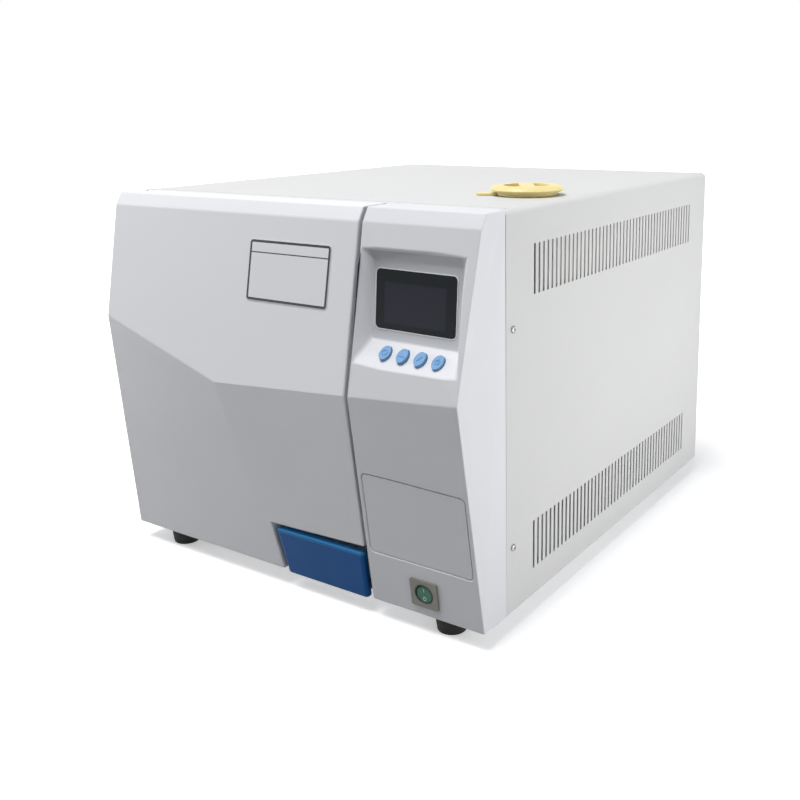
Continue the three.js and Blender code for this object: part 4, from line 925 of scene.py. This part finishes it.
# %% Side screws
CASING_SIDE = 240
SCREW_BEHIND_FRONT = 52
LOWER_SCREW, UPPER_SCREW = 66, 279
HEAD_RADIUS = mm(3.6)
HEAD_TOP = mm(2.1)
SHANK_RADIUS = mm(1.6)


def cut_away(piece, tool):
    apply_modifier(piece, "BOOLEAN", object=tool, operation="DIFFERENCE", solver="EXACT")
    bpy.data.objects.remove(tool)


def screw(node, side, z):
    head = cylinder(node + "_piece", HEAD_RADIUS, mm(0.3), HEAD_TOP, 32)
    soften(head, mm(1.2), lambda edge: sharp(edge, 50) and middle(edge).z > mm(1), 4)
    for quarter in (0, math.pi / 2):
        cut_away(head, block("cross", (mm(3.6), mm(0.7), mm(2)), (0, 0, mm(2.2)), quarter))
    shank = cylinder("shank", SHANK_RADIUS, mm(-8), mm(0.6), 16)
    piece = join([head, shank])
    outwards = Matrix.Rotation(side * math.pi / 2, 4, "Y")
    spot = place(side * CASING_SIDE, SCREW_BEHIND_FRONT, z)
    piece.matrix_world = Matrix.Translation(spot) @ outwards
    finish_transform(piece)
    smooth(piece)
    coat(piece, bright_screw)
    stand_for(piece, node)


for side, letter in ((-1, "l"), (1, "r")):
    screw("screw_" + letter + "_lower", side, LOWER_SCREW)
    screw("screw_" + letter + "_upper", side, UPPER_SCREW)
print("screws set")

# %% [markdown]
# A sticker sits on the door's upper facet: white film with a rounded black border and a line
# near the top. It is a thin plate whose front face is inset twice, so that the border is a ring
# of real faces with a dark finish, and it leans with the facet.

# %% Sticker on the door
sticker_white = moulded("sticker_white", (0.74, 0.745, 0.765), 0.3, depth=0.000005)
sticker_black = moulded("sticker_black", (0.018, 0.018, 0.02), 0.35, drift=0.85, depth=0.000005)
FACET_TOP, FACET_FOLD = 376, 204.8
FACET_RUN = 32.4
FACET_ANGLE = math.atan(FACET_RUN / (FACET_TOP - FACET_FOLD))
STICKER_X, STICKER_Z = 24.2, 321.7
STICKER_SIZE = (mm(105), mm(60.5))
FILM = mm(0.25)


def upright(edge):
    return abs(direction(edge).z) > 0.9


def sticker():
    width, tall = STICKER_SIZE
    plate = block("door_sticker", (width, tall, FILM), (0, 0, FILM / 2))
    coat(plate, sticker_white)
    plate.data.materials.append(sticker_black.material)
    soften(plate, mm(3.5), upright, 5)
    face_pick(plate, lambda spot, normal: normal.z > 0.9)
    for thickness, slot in ((0.3, 1), (2.5, 0)):
        bpy.ops.mesh.inset(thickness=mm(thickness), depth=0)
        plate.active_material_index = slot
        bpy.ops.object.material_slot_assign()
    bpy.ops.object.mode_set(mode="OBJECT")
    line_size = (width - mm(5.6), mm(1.1), mm(0.06))
    line = block("sticker_line", line_size, (0, tall / 2 - mm(12.5), FILM + mm(0.02)))
    coat(line, sticker_black)
    piece = join([plate, line])
    lean = Matrix.Rotation(math.pi / 2 - FACET_ANGLE, 4, "X")
    facet_y = -(FACET_TOP - STICKER_Z) * FACET_RUN / (FACET_TOP - FACET_FOLD)
    spot = place(STICKER_X, facet_y - 0.2, STICKER_Z)
    piece.matrix_world = Matrix.Translation(spot) @ lean
    finish_transform(piece)
    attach(piece, "door")
    return piece


door_sticker = sticker()
print("sticker faces:", len(door_sticker.data.polygons))

# %% [markdown]
# The machine stands on a plain pale floor. The camera sees the floor and the sky white. Other
# rays meet a darker floor, so that it doesn't light the lower facets from below, because in the
# photograph they stay a clear step darker than the upper ones. Only to the right of the casing
# is it paler for them. Near the machine the floor glows less, so that its shadow shows.

# %% Floor and world
bpy.ops.object.select_all(action="DESELECT")
bpy.ops.mesh.primitive_plane_add(size=24, location=(0, 0, 0))
floor = bpy.context.object
floor.name = "floor"
glowing = {"Specular_IOR_Level": 0.0, "Emission_Strength": 1.0}
floor_paint = Finish("floor_paint", (0.9, 0.9, 0.9), 0.9, **glowing)
camera_ray = floor_paint.add("ShaderNodeLightPath", output="Is Camera Ray")
gloss_ray = floor_paint.add("ShaderNodeLightPath", output="Is Glossy Ray")
seen = camera_ray.most(gloss_ray)
measure = ("ShaderNodeVectorMath", {"operation": "LENGTH"}, {0: floor_paint.points})
away = floor_paint.add(*measure, output="Value")
glow = ramp(away, 0.55, 0.9) * seen
bounce = ramp(floor_paint.axis("X"), 0.25, 0.2) * ramp(floor_paint.axis("Y"), -0.35, 0.2)
beside = floor_paint.mix(bounce, (0.10, 0.10, 0.10), (0.6, 0.6, 0.6))
floor_paint.set("Base Color", floor_paint.mix(seen, beside, (0.95, 0.95, 0.95)))
near_glow = floor_paint.mix(seen, (0, 0, 0), (0.35, 0.35, 0.35))
floor_paint.set("Emission Color", floor_paint.mix(glow, near_glow, (1, 1, 1)))
coat(floor, floor_paint)

world = bpy.data.worlds.new("studio")
bpy.context.scene.world = world
world.use_nodes = True
sky = world.node_tree.nodes
sky.clear()
sky_out = sky.new("ShaderNodeOutputWorld")
sky_light = sky.new("ShaderNodeBackground")
sky_view = sky.new("ShaderNodeBackground")
sky_mix = sky.new("ShaderNodeMixShader")
sky_path = sky.new("ShaderNodeLightPath")
sky_max = sky.new("ShaderNodeMath")
sky_max.operation = "MAXIMUM"
sky_gloss = sky.new("ShaderNodeMath")
sky_gloss.operation = "MAXIMUM"
sky_light.inputs[0].default_value = (0.95, 0.97, 1.0, 1)
sky_light.inputs[1].default_value = 0.33
sky_view.inputs[0].default_value = (1, 1, 1, 1)
sky_view.inputs[1].default_value = 1.0
links = world.node_tree.links
links.new(sky_path.outputs["Is Camera Ray"], sky_max.inputs[0])
links.new(sky_path.outputs["Is Transmission Ray"], sky_max.inputs[1])
links.new(sky_max.outputs[0], sky_gloss.inputs[0])
links.new(sky_path.outputs["Is Glossy Ray"], sky_gloss.inputs[1])
links.new(sky_gloss.outputs[0], sky_mix.inputs[0])
links.new(sky_light.outputs[0], sky_mix.inputs[1])
links.new(sky_view.outputs[0], sky_mix.inputs[2])
links.new(sky_mix.outputs[0], sky_out.inputs[0])
print("floor and sky ready")

# %% [markdown]
# Four soft boxes light the machine: a strong one high above and in front, which makes the bevel
# the brightest place, one far to the left, which tells the door's two lower facets apart, and
# two weak ones at the right for the casing's side.

# %% Lamps
def soft_box(name, where, target, size, power):
    light = bpy.data.lights.new(name, "AREA")
    light.shape = "SQUARE"
    light.size = size
    light.energy = power
    lamp = bpy.data.objects.new(name, light)
    bpy.context.scene.collection.objects.link(lamp)
    lamp.location = where
    lamp.rotation_euler = (Vector(target) - Vector(where)).to_track_quat("-Z", "Y").to_euler()
    return lamp


soft_box("high", (-0.6, -1.4, 4.8), (0, -0.2, 0.2), 2.6, 226)
soft_box("far_left", (-5.6, -2.0, 1.6), (0, -0.2, 0.2), 2.0, 84)
soft_box("right_front", (2.2, -1.0, 0.35), (0, 0, 0.2), 1.0, 8)
soft_box("right_low", (1.5, 0.15, 0.18), (0.2, 0, 0.12), 0.35, 9.2)
print("four soft boxes")

# %% [markdown]
# A plain view transform keeps the colours as they are written.

# %% View transform
bpy.context.scene.view_settings.view_transform = "Standard"
bpy.context.view_layer.update()
